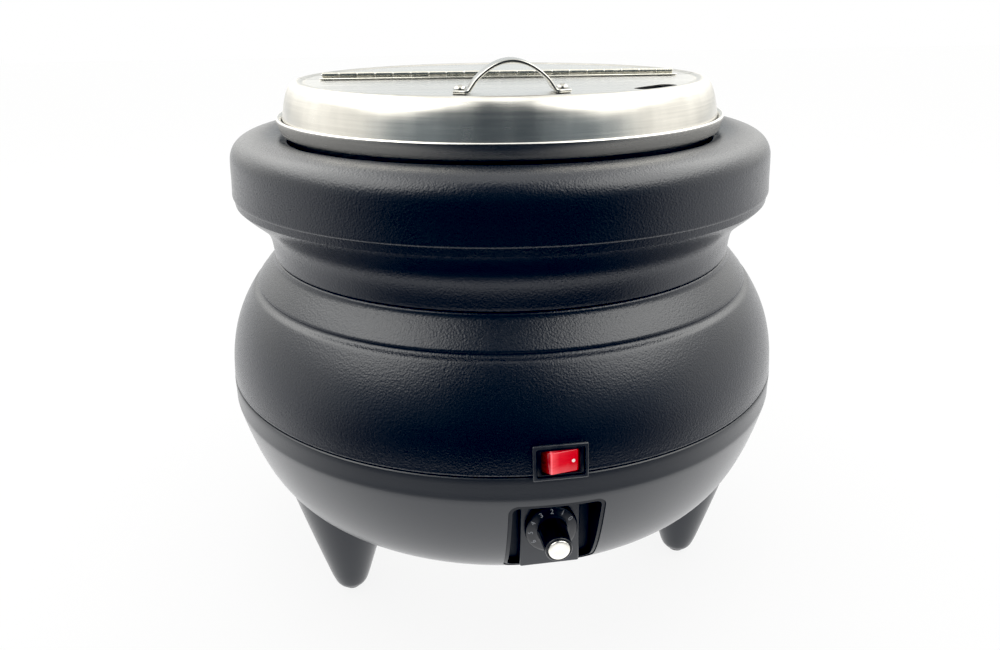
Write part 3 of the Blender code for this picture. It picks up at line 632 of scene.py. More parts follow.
# legs -------------------------------------------------------------------------
for tag in ("left", "right", "rear"):
    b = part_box("foot_pad_" + tag)
    cx, cy = (b[0].x + b[1].x) / 2 / MM, (b[0].y + b[1].y) / 2 / MM
    prof = [(0, 93.0), (8.3 + 0.31 * 93.0, 93.0)]
    prof += [(8.3 + 0.31 * z, z) for z in np.linspace(91.5, 13.0, 28)]
    prof += soft([(12.33, 13.0), (11.1, 9.2), (9.7, 5.6), (7.9, 3.0), (5.9, 1.3)], 5)[1:]
    prof += [(5.5, 1.25), (0, 1.25)]
    leg = turned("cone_leg_" + tag, prof, M_LEG, seg=96, centre=(cx, cy))
    away = math.hypot(cx, cy)
    for v in leg.data.vertices:            # a slightly steeper outer side than inner side
        t = max(0.0, (v.co.z / MM - 13.0) / 62.0)
        for axis, c0 in ((0, cx), (1, cy)):
            v.co[axis] = (c0 - c0 / away * 1.5 * t) * MM + (v.co[axis] - c0 * MM) * (1.0 - 0.045 * t)
    grown = [(0, 140.0), (BODY_R + 0.05, 140.0), (BODY_R + 0.05, 121.0)] + inset(bowl_side(), -0.03)[:-1] + \
            [(90.0, BOWL_FLOOR - 0.05), (0, BOWL_FLOOR - 0.05)]
    cut(leg, [turned("tool", grown, M_BASE, seg=SEG), peg(2.45, 10.0, (cx, cy, 1.6)),
              peg(2.5, 30.0, (cx, cy, 45.0))], sharp=40.0)
    finish(leg, "kettle_body", "base_black", "leg_" + tag)
    pad = turned("foot_glide_" + tag, [(0, 6.0), (1.8, 6.0), (2.0, 5.8), (2.0, 0.95), (4.7, 0.95), (5.1, 0.75),
                                       (5.2, 0.4), (5.0, 0.1), (4.7, 0.0), (0, 0.0)], M_RUBBER, seg=48,
                 centre=(cx, cy))
    finish(pad, "kettle_body", "rubber", "foot_pad_" + tag)
    screw = turned("leg_fixing_" + tag, [(0, 65.0), (1.4, 64.95), (2.6, 64.6), (3.8, 63.8), (4.5, 62.7),
                                         (4.6, 62.0), (4.6, 61.3), (4.5, 61.2), (2.0, 61.2), (2.0, 33.0),
                                         (1.2, 31.9), (0, 31.5)], M_ZINC, seg=32, centre=(cx, cy))
    finish(screw, "kettle_body", "steel", "leg_screw_" + tag)

# under cover --------------------------------------------------------------------
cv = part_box("bottom_cover")
c0, c1 = cv[0].z / MM, cv[1].z / MM
cr = cv[1].x / MM
cover = turned("under_cover", [(0, c1), (cr - 1.0, c1), (cr - 0.3, c1 - 0.3), (cr, c1 - 0.7), (cr - 0.3, c0 + 0.3),
                               (cr - 1.0, c0), (80.0, c0), (79.0, c0 + 0.5), (77.0, c0 + 0.5), (76.0, c0),
                               (42.0, c0), (41.0, c0 + 0.5), (39.0, c0 + 0.5), (38.0, c0), (0, c0)], M_ZINC, seg=128)
tools = []
for tag in "abc":
    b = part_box("cover_screw_" + tag)
    x, y = (b[0].x + b[1].x) / 2 / MM, (b[0].y + b[1].y) / 2 / MM
    tools.append(peg(1.7, 6.0, (x, y, 53.0), seg=24))
    zt, zb = b[1].z / MM, b[0].z / MM
    s = turned("cover_fixing_" + tag, [(0, zt), (0.8, zt - 0.4), (1.35, zt - 1.0), (1.35, 51.9), (3.1, 51.9),
                                       (3.2, 51.7), (3.0, 51.1), (2.3, 50.6), (1.2, zb + 0.1), (0, zb)], M_ZINC,
               seg=32, centre=(x, y))
    finish(s, "kettle_body", "steel", "cover_screw_" + tag)
cut(cover, tools)
finish(cover, "kettle_body", "steel", "bottom_cover")

# water tank, seal, blanket --------------------------------------------------------
TR = 119.0
tank = [(0, TANK_FLOOR + 1.0)]
tank += soft([(100.0, TANK_FLOOR + 1.0), (106.5, TANK_FLOOR + 1.4), (112.5, TANK_FLOOR + 3.2),
              (116.6, TANK_FLOOR + 7.8), (TR - 1.0, 92.0), (TR - 1.0, 110.0)], 5)
tank += [(TR - 1.0, 185.0), (TR - 1.0, 258.0), (TR - 1.0, FLANGE - 0.5), (TR - 0.6, FLANGE), (130.4, FLANGE),
         (131.0, FLANGE - 0.4), (131.0, FLANGE - 0.9), (130.4, FLANGE - 1.0), (TR + 0.2, FLANGE - 1.0), (TR, FLANGE - 1.6),
         (TR, 185.0)]
tank += soft([(TR, 110.0), (TR, 91.5), (117.4, TANK_FLOOR + 7.2), (113.0, TANK_FLOOR + 2.4),
              (106.6, TANK_FLOOR + 0.4), (100.0, TANK_FLOOR)], 5)
tank += [(0, TANK_FLOOR)]
finish(turned("water_well", tank, M_POT, seg=128), "kettle_body", "stainless", "water_tank")
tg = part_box("tank_gasket")
g0, g1 = tg[0].z / MM, tg[1].z / MM
finish(turned("well_seal", [(129.7, g1), (130.0, g1 - 0.3), (129.7, g0), (124.3, g0), (124.0, g0 + 0.3), (124.3, g1)],
              M_RUBBER, closed=True, seg=128), "kettle_body", "rubber", "tank_gasket")
finish(turned("wool_blanket", soft([(129.6, 256.0), (130.5, 254.0), (130.4, 190.0), (130.5, 130.0), (129.6, 128.0)], 6)
              + soft([(120.8, 128.0), (120.0, 130.0), (120.1, 190.0), (120.0, 254.0), (120.8, 256.0)], 6),
              M_WOOL, closed=True, seg=96), "kettle_body", "wool", "insulation_blanket")

# switch ------------------------------------------------------------------------------
def in_switch(obj):
    obj.matrix_world = SW_M
    return obj


surround = box_mesh("switch_bezel_frame", (26.4, 2.2, 17.6), M_FRAME, SW_M, (0, -1.5, 0), bevel=0.75, segments=4)
cut(surround, [column((23.2, 8.0, 14.4), 1.2, 6, (0, -1.5, 0), axis=1)], sharp=35.0, matrix=SW_M)
finish(surround, "kettle_body", "black_plastic", "switch_surround")
housing = box_mesh("switch_body", (22.4, 1.3, 13.6), M_BLACK, SW_M, (0, -1.15, 0), bevel=0.3, segments=2)
cut(housing, [column((20.4, 19.0, 12.6), 0.3, 2, (0, 8.5, 0), axis=1)], 'UNION', matrix=SW_M)
cut(housing, [column((18.2, 12.0, 11.4), 0.5, 3, (0, 1.0, 0), axis=1)], sharp=35.0, matrix=SW_M)
finish(housing, "kettle_body", "black_plastic", "switch_housing")

side = [(-8.3, 0.8), (-8.1, 0.3), (-6.9, -1.35), (-5.75, -2.75), (-5.35, -3.15), (-4.85, -3.42), (-4.3, -3.5), (-3.4, -3.42),
        (-1.0, -2.98), (2.0, -2.42), (5.0, -1.83), (7.6, -1.32), (8.25, -1.1), (8.55, -0.75), (8.55, -0.2),
        (8.3, 2.2), (4.0, 4.5), (-4.0, 4.5), (-8.2, 3.0)]
hz = 5.35
levels = [(-hz, 0.45), (-hz + 0.12, 0.2), (-hz + 0.4, 0.0), (hz - 0.4, 0.0), (hz - 0.12, 0.2), (hz, 0.45)]
centre = np.array([0.0, 0.8])
pts, fcs = [], []
for z, shrink in levels:
    for p in side:
        d = np.array(p) - centre
        q = np.array(p) - d / np.linalg.norm(d) * shrink
        pts.append((q[0] * MM, q[1] * MM, z * MM))
n = len(side)
for k in range(len(levels) - 1):
    for i in range(n):
        j = (i + 1) % n
        fcs.append((k * n + i, k * n + j, (k + 1) * n + j, (k + 1) * n + i))
fcs.append(tuple(range(n))[::-1])
fcs.append(tuple((len(levels) - 1) * n + i for i in range(n)))
rocker = mesh_object("rocker_key", pts, fcs, M_RED, SW_M, 38.0)
finish(rocker, "rocker", "red_lens", "switch_rocker")
dot = turned("rocker_mark", [(0, 0.16), (0.55, 0.13), (0.85, 0.03), (0.9, -0.1), (0, -0.1)], M_DOT, seg=32,
             matrix=SW_M @ Matrix.Translation((6.1 * MM, -1.62 * MM, 0.0)) @ Matrix.Rotation(math.radians(11.5), 4, 'Z')
             @ Matrix.Rotation(math.radians(90), 4, 'X'))
finish(dot, "rocker", "red_lens")

# dial knob ------------------------------------------------------------------------------
kp = [(0, 19.2), (5.65, 19.2), (5.7, 19.25), (5.75, 20.0), (5.85, 20.1), (6.2, 20.1), (6.45, 20.0), (6.65, 19.75), (6.8, 19.3),
      (7.1, 13.0), (7.4, 6.6), (7.55, 5.6), (7.9, 4.9), (8.6, 4.55), (9.4, 4.42), (12.2, 3.95), (13.0, 3.7), (13.4, 3.2),
      (13.5, 2.6), (13.5, 1.2), (13.3, 0.9), (12.9, 0.8), (9.8, 0.8), (9.6, 1.0), (9.6, 2.8), (3.35, 2.8), (3.35, 16.6), (0, 16.6)]
knob = turned("dial_knob", kp, M_KNOB, seg=120, matrix=KNOB_M, sharp=35.0)
# shallow grip flutes on the barrel
for v in knob.data.vertices:
    r = math.hypot(v.co.x, v.co.y) / MM
    z = v.co.z / MM
    if 6.7 < r < 7.6 and 5.0 < z < 19.6:
        a = math.atan2(v.co.y, v.co.x)
        k = 1.0 - 0.030 * (0.5 + 0.5 * math.cos(20 * a)) * min(1.0, (z - 5.0) / 2.0) * min(1.0, max(0.0, (19.7 - z) / 1.5))
        v.co.x *= k
        v.co.y *= k
finish(knob, "knob", "black_plastic", "knob")
cap = turned("dial_cap", [(0, 20.42), (1.5, 20.46), (3.6, 20.5), (4.9, 20.5), (5.2, 20.42), (5.35, 20.2), (5.35, 19.6),
                          (5.2, 19.5), (0, 19.5)], M_ALU, seg=96, matrix=KNOB_M)
finish(cap, "knob", "aluminium", "knob_cap")


def glyph(text, size, matrix, name, mat=M_PRINT, depth=0.06):
    """A plain number set flat on the dial, as a thin mesh."""
    cu = bpy.data.curves.new(name, 'FONT')
    cu.body = text
    cu.size = size * MM
    cu.align_x = 'CENTER'
    cu.align_y = 'CENTER'
    cu.extrude = depth * MM / 2
    cu.resolution_u = 4
    ob = bpy.data.objects.new(name, cu)
    bpy.context.scene.collection.objects.link(ob)
    bpy.context.view_layer.update()
    mesh = bpy.data.meshes.new_from_object(ob.evaluated_get(bpy.context.evaluated_depsgraph_get()))
    bpy.data.objects.remove(ob, do_unlink=True)
    bm = bmesh.new()
    bm.from_mesh(mesh)
    bmesh.ops.remove_doubles(bm, verts=bm.verts, dist=0.000002)
    bm.to_mesh(mesh)
    bm.free()
    mesh.name = name
    mesh.materials.clear()
    mesh.materials.append(mat)
    out = bpy.data.objects.new(name, mesh)
    bpy.context.scene.collection.objects.link(out)
    out.matrix_world = matrix
    return out


slope = math.atan2(0.47, 2.8)
for label, deg in (("3", 31.0), ("2", 1.0), ("1", -29.0), ("0", -58.0), ("4", 62.0), ("5", 92.0), ("6", 122.0)):
    a = math.radians(deg)
    place = KNOB_M @ Matrix.Rotation(a, 4, 'Z') @ Matrix.Translation((0, 10.9 * MM, 4.2 * MM)) @ \
        Matrix.Rotation(-slope, 4, 'X')
    finish(glyph(label, 3.6, place, "dial_number_" + label), "knob", "aluminium")

# mains cord -------------------------------------------------------------------------------
gland = box_mesh("cord_outlet", [(gl[1].x - gl[0].x) / MM, 6.6, (gl[1].z - gl[0].z) / MM], M_BLACK,
                 loc=(0, gl[1].y / MM - 3.3, gland_z), bevel=1.8, segments=5)
cut(gland, [peg(4.5, 16.0, (0, 158.0, gland_z), (0, 1, 0))], 'UNION')
cut(gland, [peg(2.95, 12.0, (0, 167.0, gland_z - 5.0))], sharp=40.0)
finish(gland, "kettle_body", "black_plastic", "cord_gland")


def curve3(points, steps=10):
    pts = [np.array(p, float) for p in points]
    out = []
    for i in range(len(pts) - 1):
        p1, p2 = pts[i], pts[i + 1]
        p0 = pts[i - 1] if i else p1 * 2 - p2
        p3 = pts[i + 2] if i + 2 < len(pts) else p2 * 2 - p1
        for k in range(steps):
            t = k / steps
            out.append(0.5 * ((2 * p1) + (p2 - p0) * t + (2 * p0 - 5 * p1 + 4 * p2 - p3) * t * t
                              + (3 * p1 - p0 - 3 * p2 + p3) * t ** 3))
    out.append(pts[-1])
    return out


cord = [(0, 167.0, gland_z - 0.5), (0, 167.0, 78.0), (0, 167.0, 58.0), (-0.4, 166.8, 36.0), (-2.8, 166.0, 17.0),
        (-9.5, 163.5, 6.2), (-20.0, 158.2, 3.1)]
for i in range(2, 9):
    a = math.radians(10.0 + i * 4.5)
    cord.append((-138.0 * math.sin(a), 138.0 * math.cos(a) + 8.0 * (1 - i / 8), 3.0))
pin_a, pin_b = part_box("plug_pin_a"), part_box("plug_pin_b")
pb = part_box("plug_body")
plug_c = [(pb[0][i] + pb[1][i]) / 2 / MM for i in range(3)]
end = np.array(cord[-1])
head = np.array([plug_c[0] - end[0], plug_c[1] - end[1]])
heading = math.atan2(head[1], head[0])
finish(tube("mains_cord", curve3(cord, 8), 2.6, M_RUBBER, 20), "kettle_body", "rubber", "power_cord")
PL = Matrix.Translation([v * MM for v in plug_c]) @ Matrix.Rotation(heading, 4, 'Z')
plug = box_mesh("plug_moulding", (40.0, 26.0, 17.6), M_BLACK, PL, bevel=5.5, segments=6, sharp=60.0)
for v in plug.data.vertices:               # tapers towards the cord
    t = (v.co.x / MM + 20.0) / 40.0
    k = 0.62 + 0.38 * min(1.0, t * 1.7)
    v.co.y *= k
    v.co.z *= k
finish(plug, "kettle_body", "black_plastic", "plug_body")
for tag, s in (("a", -1), ("b", 1)):
    pin = turned("plug_prong_" + tag, [(0, 9.5), (0.9, 9.4), (1.7, 9.0), (2.1, 8.3), (2.2, 7.4), (2.2, -9.4), (2.0, -9.5), (0, -9.5)],
                 M_BRASS, seg=32, matrix=PL @ Matrix.Translation((29.9 * MM, s * 9.0 * MM, 0)) @ Matrix.Rotation(math.radians(90), 4, 'Y'))
    finish(pin, "kettle_body", "brass", "plug_pin_" + tag)

# insert pot -------------------------------------------------------------------------------
PR = 114.0
pot = [(0, POT_FLOOR + 1.0)]
pot += soft([(90.0, POT_FLOOR + 1.0), (98.0, POT_FLOOR + 1.3), (106.0, POT_FLOOR + 3.4), (111.2, POT_FLOOR + 8.0),
             (PR - 1.0, POT_FLOOR + 16.0), (PR - 1.0, POT_FLOOR + 40.0)], 5)
pot += [(PR - 1.0, 190.0), (PR - 1.0, 250.0)]
pot += soft([(PR - 1.0, 256.0), (PR - 0.6, 258.8), (PR + 1.0, 261.2), (PR + 3.7, 263.4), (119.3, 265.6), (119.8, 268.5),
             (120.6, 272.4), (121.9, 274.8), (124.4, 278.0), (125.9, RIM_TOP - 0.75)], 4)
pot += [(126.45, RIM_TOP - 0.25), (126.95, RIM_TOP - 0.02), (127.4, RIM_TOP), (127.85, RIM_TOP - 0.15),
        (RIM_R - 0.03, RIM_TOP - 0.6), (RIM_R - 0.12, RIM_TOP - 1.4), (127.4, 276.4), (126.8, 274.2), (126.35, 272.75),
        (126.1, 272.3), (125.7, 272.2), (125.4, 272.5), (125.55, 273.2), (126.3, 275.8), (126.9, 278.3),
        (126.65, 278.6), (126.3, 278.5)]
pot += soft([(126.1, 278.2), (125.2, 277.0), (124.0, 275.4), (122.2, 273.1), (121.5, 271.0), (120.8, 268.0), (120.2, 265.0),
             (118.4, 262.9), (PR + 1.6, 260.2), (PR + 0.3, 258.2), (PR, 255.8), (PR, 250.0)], 4)
pot += [(PR, 190.0)]
pot += soft([(PR, POT_FLOOR + 40.0), (PR, POT_FLOOR + 15.6), (111.8, POT_FLOOR + 7.2), (106.4, POT_FLOOR + 2.4),
             (98.2, POT_FLOOR + 0.3), (90.0, POT_FLOOR)], 5)
pot += [(0, POT_FLOOR)]
finish(turned("soup_insert", pot, M_POT, sharp=40.0), "pot", "stainless", "insert_pot")

# lid ------------------------------------------------------------------------------------------
FLAT_R = 111.5
LR = 124.8
lid_out = [(0, LID_TOP - 0.8), (60.0, LID_TOP - 0.8), (100.0, LID_TOP - 0.8)]
lid_out += soft([(FLAT_R - 1.0, LID_TOP - 0.8), (FLAT_R + 0.6, LID_TOP - 0.72), (113.0, LID_TOP - 0.4), (114.3, LID_TOP - 0.06),
                 (115.4, LID_TOP), (116.7, LID_TOP - 0.28), (117.9, LID_TOP - 0.95), (119.0, LID_TOP - 1.95),
                 (120.1, LID_TOP - 3.4), (121.2, LID_TOP - 5.6), (122.1, LID_TOP - 8.1), (122.9, LID_TOP - 10.8),
                 (123.6, LID_TOP - 13.7), (124.2, LID_TOP - 16.6), (124.55, 280.6)], 4)
lid_out += [(124.72, 280.0), (LR, LID_FOOT + 0.4), (LR, LID_FOOT + 0.15), (LR - 0.15, LID_FOOT)]
lid_in = inset(lid_out, 1.0)
lid_in[0] = (0, LID_TOP - 1.8)
lid_in[-1] = (LR - 0.9, LID_FOOT)
lid_in = lid_in[:-3] + [lid_in[-1]]
whole = lid_out + lid_in[::-1]
HANDLE_Y = -93.0
for name, node, body, sgn in (("lid_back_half", "lid_rear", "lid", 1), ("lid_front_flap", "lid_flap", "flap", -1)):
    half = turned(name, whole, M_LID, seg=256, matrix=LID_M, sharp=40.0)
    cut(half, [column((300.0, 150.0, 60.0), 0, 1, (0, sgn * 75.4, 290.0))], 'INTERSECT', matrix=LID_M)
    if sgn < 0:
        a = math.radians(44.5)
        sx, sy = 105.0 * math.sin(a), -105.0 * math.cos(a)
        cut(half, [column((31.0, 9.5, 60.0), 4.4, 8, (sx, sy, 290.0), rot=a),
                   peg(1.9, 12.0, (-24.2, HANDLE_Y, 298.0)), peg(1.9, 12.0, (24.2, HANDLE_Y, 298.0))],
            sharp=40.0, matrix=LID_M)
    half.data.materials.append(M_TOP)
    for p in half.data.polygons:
        c = p.center
        if p.normal.z > 0.995 and math.hypot(c.x, c.y) < (FLAT_R - 0.9) * MM:
            p.material_index = 1
    finish(half, body, "stainless", node)

# piano hinge: narrow knuckles that alternate between the two leaves
HH = 102.0
count, KR = 20, 1.5
pitch = 2 * HH / count


def leaf(name, node, body, sgn, first):
    plate = box_mesh(name, (2 * HH, 7.6, 0.8), M_HINGE, LID_M, (0, sgn * 6.3, HINGE_Z - 1.4), bevel=0.15, segments=1)
    parts = []
    for k in range(first, count, 2):
        cx = -HH + pitch * (k + 0.5)
        rings = []
        for x in (cx - pitch / 2 + 0.2, cx - pitch / 2 + 0.4, cx + pitch / 2 - 0.4, cx + pitch / 2 - 0.2):
            rings.append((x, KR - (0.2 if abs(abs(x - cx) - (pitch / 2 - 0.2)) < 0.01 else 0.0)))
        verts, faces = [], []
        sides = 24
        for x, r in [(rings[0][0], 0.85)] + rings + [(rings[-1][0], 0.85)]:
            for i in range(sides):
                a = math.tau * i / sides
                verts.append((x * MM, r * math.cos(a) * MM, (HINGE_Z + r * math.sin(a)) * MM))
        rows = 6
        for q in range(rows):
            w = (q + 1) % rows
            for i in range(sides):
                j = (i + 1) % sides
                faces.append((q * sides + i, w * sides + i, w * sides + j, q * sides + j))
        tool = mesh_object("tool", verts, faces, M_HINGE)
        bm = bmesh.new()
        bm.from_mesh(tool.data)
        bmesh.ops.recalc_face_normals(bm, faces=bm.faces)
        bm.to_mesh(tool.data)
        bm.free()
        parts.append(tool)
        parts.append(column((pitch - 0.8, 2.4, 0.6), 0, 1, (cx, sgn * 1.9, HINGE_Z - 1.35)))
    cut(plate, parts, 'UNION', sharp=40.0, matrix=LID_M)
    finish(plate, body, "stainless", node)


leaf("hinge_back", "hinge_leaf_rear", "lid", 1, 0)
leaf("hinge_front", "hinge_leaf_flap", "flap", -1, 1)
hp = turned("hinge_wire", [(0, HH + 0.5), (0.45, HH + 0.4), (0.6, HH + 0.1), (0.6, -HH - 0.1), (0.45, -HH - 0.4), (0, -HH - 0.5)],
            M_ZINC, seg=16, matrix=LID_M @ Matrix.Translation((0, 0, HINGE_Z * MM)) @ Matrix.Rotation(math.radians(90), 4, 'Y'))
finish(hp, "lid", "steel", "hinge_pin")

# strip handle and its rivets
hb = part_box("lid_handle")
base_z = hb[0].z / MM + 0.75
rise = hb[1].z / MM - 0.75 - base_z
path = [(-27.6, base_z), (-24.0, base_z), (-21.6, base_z + 0.02), (-20.2, base_z + 0.55), (-19.1, base_z + 2.0)]
for i in range(1, 24):
    t = i / 24
    x = -18.6 + 37.2 * t
    path.append((x, base_z + 2.6 + (rise - 2.6) * math.sin(math.pi * t) ** 0.78))
path += [(-x, z) for x, z in path[4::-1]]
line = soft(path, 3)
n = len(line)
cen = np.array(line)
tan = np.gradient(cen, axis=0)
tan /= np.linalg.norm(tan, axis=1)[:, None]
nor = np.stack([-tan[:, 1], tan[:, 0]], 1)
half_w, half_t, rr = 9.0, 0.75, 0.55
sect = []
for sx, sy, a0 in ((1, 1, 0), (-1, 1, 90), (-1, -1, 180), (1, -1, 270)):
    for k in range(5):
        a = math.radians(a0 + 90 * k / 4)
        sect.append((sx * (half_w - rr) + rr * math.cos(a), sy * (half_t - rr) + rr * math.sin(a)))
m = len(sect)
verts, faces = [], []
for i in range(n):
    endt = min(i, n - 1 - i)
    narrow = 0.72 + 0.28 * min(1.0, endt / 5.0) if endt < 5 else 1.0
    for w, t in sect:
        p = cen[i] + nor[i] * t
        verts.append((p[0] * MM, (HANDLE_Y + w * narrow) * MM, p[1] * MM))
for i in range(n - 1):
    for k in range(m):
        j = (k + 1) % m
        faces.append((i * m + k, (i + 1) * m + k, (i + 1) * m + j, i * m + j))
faces.append(tuple(range(m)))
faces.append(tuple((n - 1) * m + k for k in range(m))[::-1])
handle = mesh_object("strip_handle", verts, faces, M_STRIP, LID_M, 40.0)
bm = bmesh.new()
bm.from_mesh(handle.data)
bmesh.ops.recalc_face_normals(bm, faces=bm.faces)
bm.to_mesh(handle.data)
bm.free()
cut(handle, [peg(1.9, 12.0, (-24.2, HANDLE_Y, 298.0)), peg(1.9, 12.0, (24.2, HANDLE_Y, 298.0))], sharp=40.0, matrix=LID_M)
finish(handle, "flap", "stainless", "lid_handle")
for tag, x in (("left", -24.2), ("right", 24.2)):
    rv = turned("strip_rivet_" + tag, [(0, 302.2), (1.0, 302.1), (2.0, 301.7), (2.7, 301.1), (3.0, 300.6), (1.5, 300.6), (1.5, 296.9),
                                       (2.8, 296.9), (2.7, 296.4), (2.0, 295.9), (0, 295.7)], M_STRIP, seg=32, matrix=LID_M,
                centre=(x, HANDLE_Y))
    finish(rv, "flap", "stainless", "handle_rivet_" + tag)

# carried-over internal parts ----------------------------------------------------------------------
for node, mat in (("heating_element", M_ZINC), ("element_clamp_plate", M_ALU), ("clamp_stud", M_ZINC), ("clamp_nut", M_ZINC),
                  ("thermal_cutout", M_CERAMIC), ("terminal_block", M_CERAMIC), ("thermostat_body", M_BLACK),
                  ("thermostat_nut", M_BRASS), ("sensor_bulb", M_BRASS), ("sensor_capillary", M_BRASS),
                  ("knob_spindle", M_ZINC)):
    o = NODES[node]
    o.data.materials.clear()
    o.data.materials.append(mat)

# ------------------------------------------------------------------------------ stage, light, camera
VIEW = math.radians(-9.1)
RZ = Matrix.Rotation(VIEW, 4, 'Z')
toward = RZ @ Vector((0, -1, 0))           # from the kettle to the camera, level
right = RZ @ Vector((1, 0, 0))

bm = bmesh.new()
bmesh.ops.create_grid(bm, x_segments=8, y_segments=8, size=6.0)
fm = bpy.data.meshes.new("floor")
bm.to_mesh(fm)
bm.free()
floor = bpy.data.objects.new("floor", fm)
bpy.context.scene.collection.objects.link(floor)
floor.location.z = -0.0002

f = Tree("pale_floor")
f.set(Roughness=0.85, Specular_IOR_Level=0.1)
f.bsdf.inputs["Base Color"].default_value = (0.90, 0.90, 0.89, 1.0)
out = f.t.nodes["Material Output"]
lp = f.t.nodes.new("ShaderNodeLightPath")
geo = f.t.nodes.new("ShaderNodeNewGeometry")


def dot(tree, vec, direction):
    d = tree.nodes.new("ShaderNodeVectorMath")
    d.operation = 'DOT_PRODUCT'
    d.inputs[1].default_value = tuple(direction)
    tree.links.new(vec, d.inputs[0])
    return d.outputs["Value"]


front = dot(f.t, geo.outputs["Position"], toward)
lateral = dot(f.t, geo.outputs["Position"], right)
radius = f.math('SQRT', f.math('ADD', f.math('MULTIPLY', lateral, lateral), f.math('MULTIPLY', front, front)))
ahead_f = f.math('DIVIDE', front, f.math('MAXIMUM', radius, 0.001))
far = f.t.nodes.new("ShaderNodeMapRange")
far.interpolation_type = 'SMOOTHSTEP'
for key, v in (("From Min", 0.80), ("From Max", 0.10), ("To Min", 0.02), ("To Max", 1.25)):
    far.inputs[key].default_value = v
f.link(ahead_f, far.inputs["Value"])
reach = f.remap(radius, 0.26, 0.44, 0.0, 1.0)
em = f.t.nodes.new("ShaderNodeEmission")
f.link(f.math('ADD', f.math('MULTIPLY', f.math('SUBTRACT', 1.0, reach), 1.85),
              f.math('MULTIPLY', reach, far.outputs["Result"])), em.inputs["Strength"])
mixs = f.t.nodes.new("ShaderNodeMixShader")
f.link(lp.outputs["Is Glossy Ray"], mixs.inputs[0])
f.link(f.bsdf.outputs[0], mixs.inputs[1])
f.link(em.outputs[0], mixs.inputs[2])
plain = f.t.nodes.new("ShaderNodeEmission")
plain.inputs["Strength"].default_value = 1.0
seen = f.t.nodes.new("ShaderNodeMixShader")
f.link(f.math('MULTIPLY', lp.outputs["Is Camera Ray"], 0.87), seen.inputs[0])
f.link(mixs.outputs[0], seen.inputs[1])
f.link(plain.outputs[0], seen.inputs[2])
f.link(seen.outputs[0], out.inputs["Surface"])
fm.materials.append(f.mat)

world = bpy.data.worlds.new("studio")
bpy.context.scene.world = world
world.use_nodes = True
wt = world.node_tree
wt.nodes.clear()
tc = wt.nodes.new("ShaderNodeTexCoord")
w = Tree.__new__(Tree)
w.t = wt
w.coord = tc


def step(v, a, b):
    return w.remap(v, a, b, 0.0, 1.0)


gen = tc.outputs["Generated"]
s_side = dot(wt, gen, right)
s_front = dot(wt, gen, toward)
s_up = dot(wt, gen, (0, 0, 1))
flat = w.math('SQRT', w.math('ADD', w.math('MULTIPLY', s_side, s_side), w.math('MULTIPLY', s_front, s_front)))
ahead = w.math('DIVIDE', s_front, w.math('MAXIMUM', flat, 0.02))     # 1 towards the camera, -1 behind
wide = w.math('ABSOLUTE', s_side)
on_left = step(w.math('MULTIPLY', s_side, -1.0), -0.02, 0.02)


def smooth(v, a, b):
    m = wt.nodes.new("ShaderNodeMapRange")
    m.interpolation_type = 'SMOOTHSTEP'
    for k, n in zip(("From Min", "From Max", "To Min", "To Max"), (a, b, 0.0, 1.0)):
        m.inputs[k].default_value = n
    wt.links.new(v, m.inputs["Value"])
    return m.outputs["Result"]


# a tall soft wall on each side, a dark studio behind the camera
wall_l = w.math('MULTIPLY', smooth(w.math('MULTIPLY', ahead, -1.0), -0.86, -0.15), 1.45)
wall_r = w.math('MULTIPLY', smooth(w.math('MULTIPLY', ahead, -1.0), -0.82, -0.08), 1.5)
walls = w.math('ADD', w.math('MULTIPLY', on_left, wall_l),
               w.math('MULTIPLY', w.math('SUBTRACT', 1.0, on_left), wall_r))
# two big overhead softboxes, left and right of a dark strip
boxes = w.math('MULTIPLY', smooth(wide, 0.12, 0.55), smooth(s_up, 0.22, 0.62))
boxes = w.math('MULTIPLY', boxes, w.math('SUBTRACT', 1.0, smooth(s_front, 0.38, 0.78)))
boxes = w.math('MULTIPLY', boxes, 5.2)
# the ceiling above the kettle and the pale wall behind it
top = w.math('MULTIPLY', smooth(s_up, 0.86, 0.985), w.math('SUBTRACT', 1.0, smooth(s_front, 0.10, 0.40)))
top = w.math('MULTIPLY', top, 2.0)
back = w.math('MULTIPLY', smooth(w.math('MULTIPLY', s_front, -1.0), 0.10, 0.60), w.math('SUBTRACT', 1.0, smooth(s_up, 0.40, 0.65)))
glow = w.math('ADD', 0.94, w.math('MULTIPLY', w.math('MULTIPLY', smooth(s_up, -0.10, 0.32), smooth(wide, 0.12, 0.45)), 1.15))
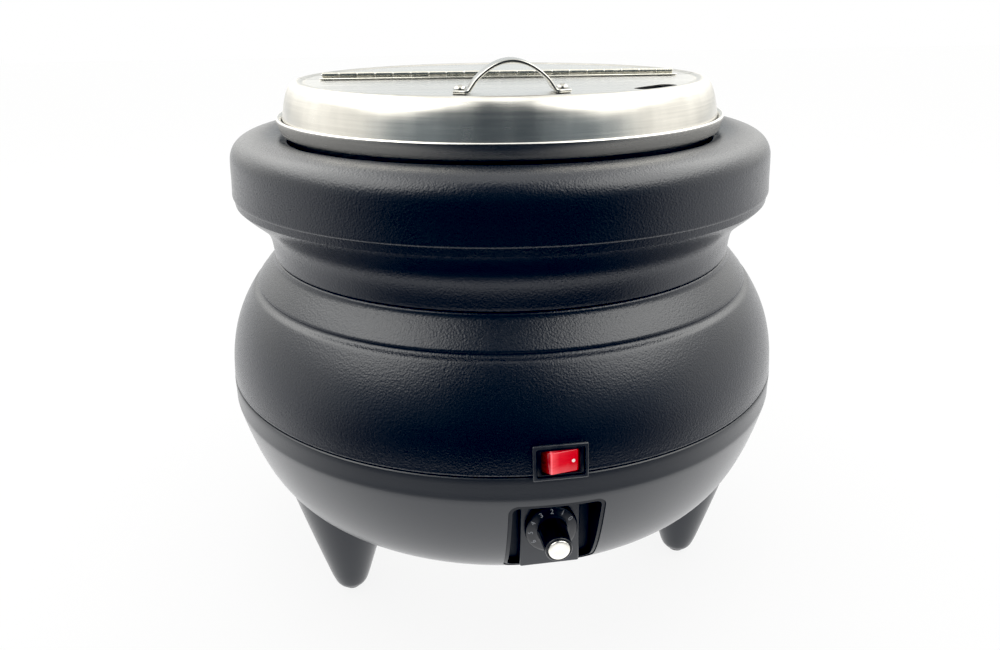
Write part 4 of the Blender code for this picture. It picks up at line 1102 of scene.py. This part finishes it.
# the grey room beyond the camera, with a darker shape in front of it
room = w.math('MULTIPLY', smooth(wide, 0.36, 0.50), smooth(s_up, 0.0, 0.16))
room = w.math('ADD', 0.11, w.math('MULTIPLY', room, 0.22))
level = w.math('ADD', w.math('MULTIPLY', w.math('SUBTRACT', 1.0, back), w.math('MAXIMUM', walls, room)),
               w.math('MULTIPLY', back, glow))
level = w.math('MAXIMUM', level, w.math('MAXIMUM', boxes, top))
wl = wt.nodes.new("ShaderNodeLightPath")
bg_gloss = wt.nodes.new("ShaderNodeBackground")
wt.links.new(level, bg_gloss.inputs["Strength"])
tint = w.ramp(w.remap(level, 0.0, 2.0, 0.0, 1.0), [(0.05, (0.78, 0.96, 1.10)), (0.60, (1.0, 0.995, 0.965))])
wt.links.new(tint, bg_gloss.inputs["Color"])
bg_plain = wt.nodes.new("ShaderNodeBackground")
bg_plain.inputs["Color"].default_value = (1.0, 1.0, 1.0, 1.0)
bg_plain.inputs["Strength"].default_value = 1.0
mw = wt.nodes.new("ShaderNodeMixShader")
wt.links.new(wl.outputs["Is Glossy Ray"], mw.inputs[0])
wt.links.new(bg_plain.outputs[0], mw.inputs[1])
wt.links.new(bg_gloss.outputs[0], mw.inputs[2])
wo = wt.nodes.new("ShaderNodeOutputWorld")
wt.links.new(mw.outputs[0], wo.inputs["Surface"])


def area(name, loc, size, power, target=(0, 0, 0.15)):
    li = bpy.data.lights.new(name, 'AREA')
    li.shape = 'RECTANGLE'
    li.size, li.size_y = size
    li.energy = power
    ob = bpy.data.objects.new(name, li)
    bpy.context.scene.collection.objects.link(ob)
    ob.location = loc
    ob.rotation_euler = (Vector(target) - Vector(loc)).to_track_quat('-Z', 'Y').to_euler()
    ob.visible_glossy = False
    return ob


area("soft_top", (0.0, 0.2, 1.6), (1.8, 1.8), 9.0)

D, H = 0.4754, 0.3352
phi, psi, roll = 0.3857, -0.00203, -0.0096
fw = Vector((math.sin(psi) * math.cos(phi), math.cos(psi) * math.cos(phi), -math.sin(phi)))
rt = Vector((math.cos(psi), -math.sin(psi), 0.0))
up = rt.cross(fw)
c, s = math.cos(roll), math.sin(roll)
rt2, up2 = rt * c + up * s, up * c - rt * s
cam_data = bpy.data.cameras.new("camera")
cam_data.sensor_width = 36.0
cam_data.lens = 28.08
cam_data.clip_start = 0.01
cam = bpy.data.objects.new("camera", cam_data)
bpy.context.scene.collection.objects.link(cam)
basis = Matrix((rt2, up2, -fw)).transposed().to_4x4()
cam.matrix_world = RZ @ Matrix.Translation((0, -D, H)) @ basis
bpy.context.scene.camera = cam
view = bpy.context.scene.view_settings
view.view_transform = 'Standard'
view.use_curve_mapping = True
view.curve_mapping.black_level = (0.0085, 0.0068, 0.0026)
view.curve_mapping.update()
bpy.context.scene.cycles.use_denoising = True
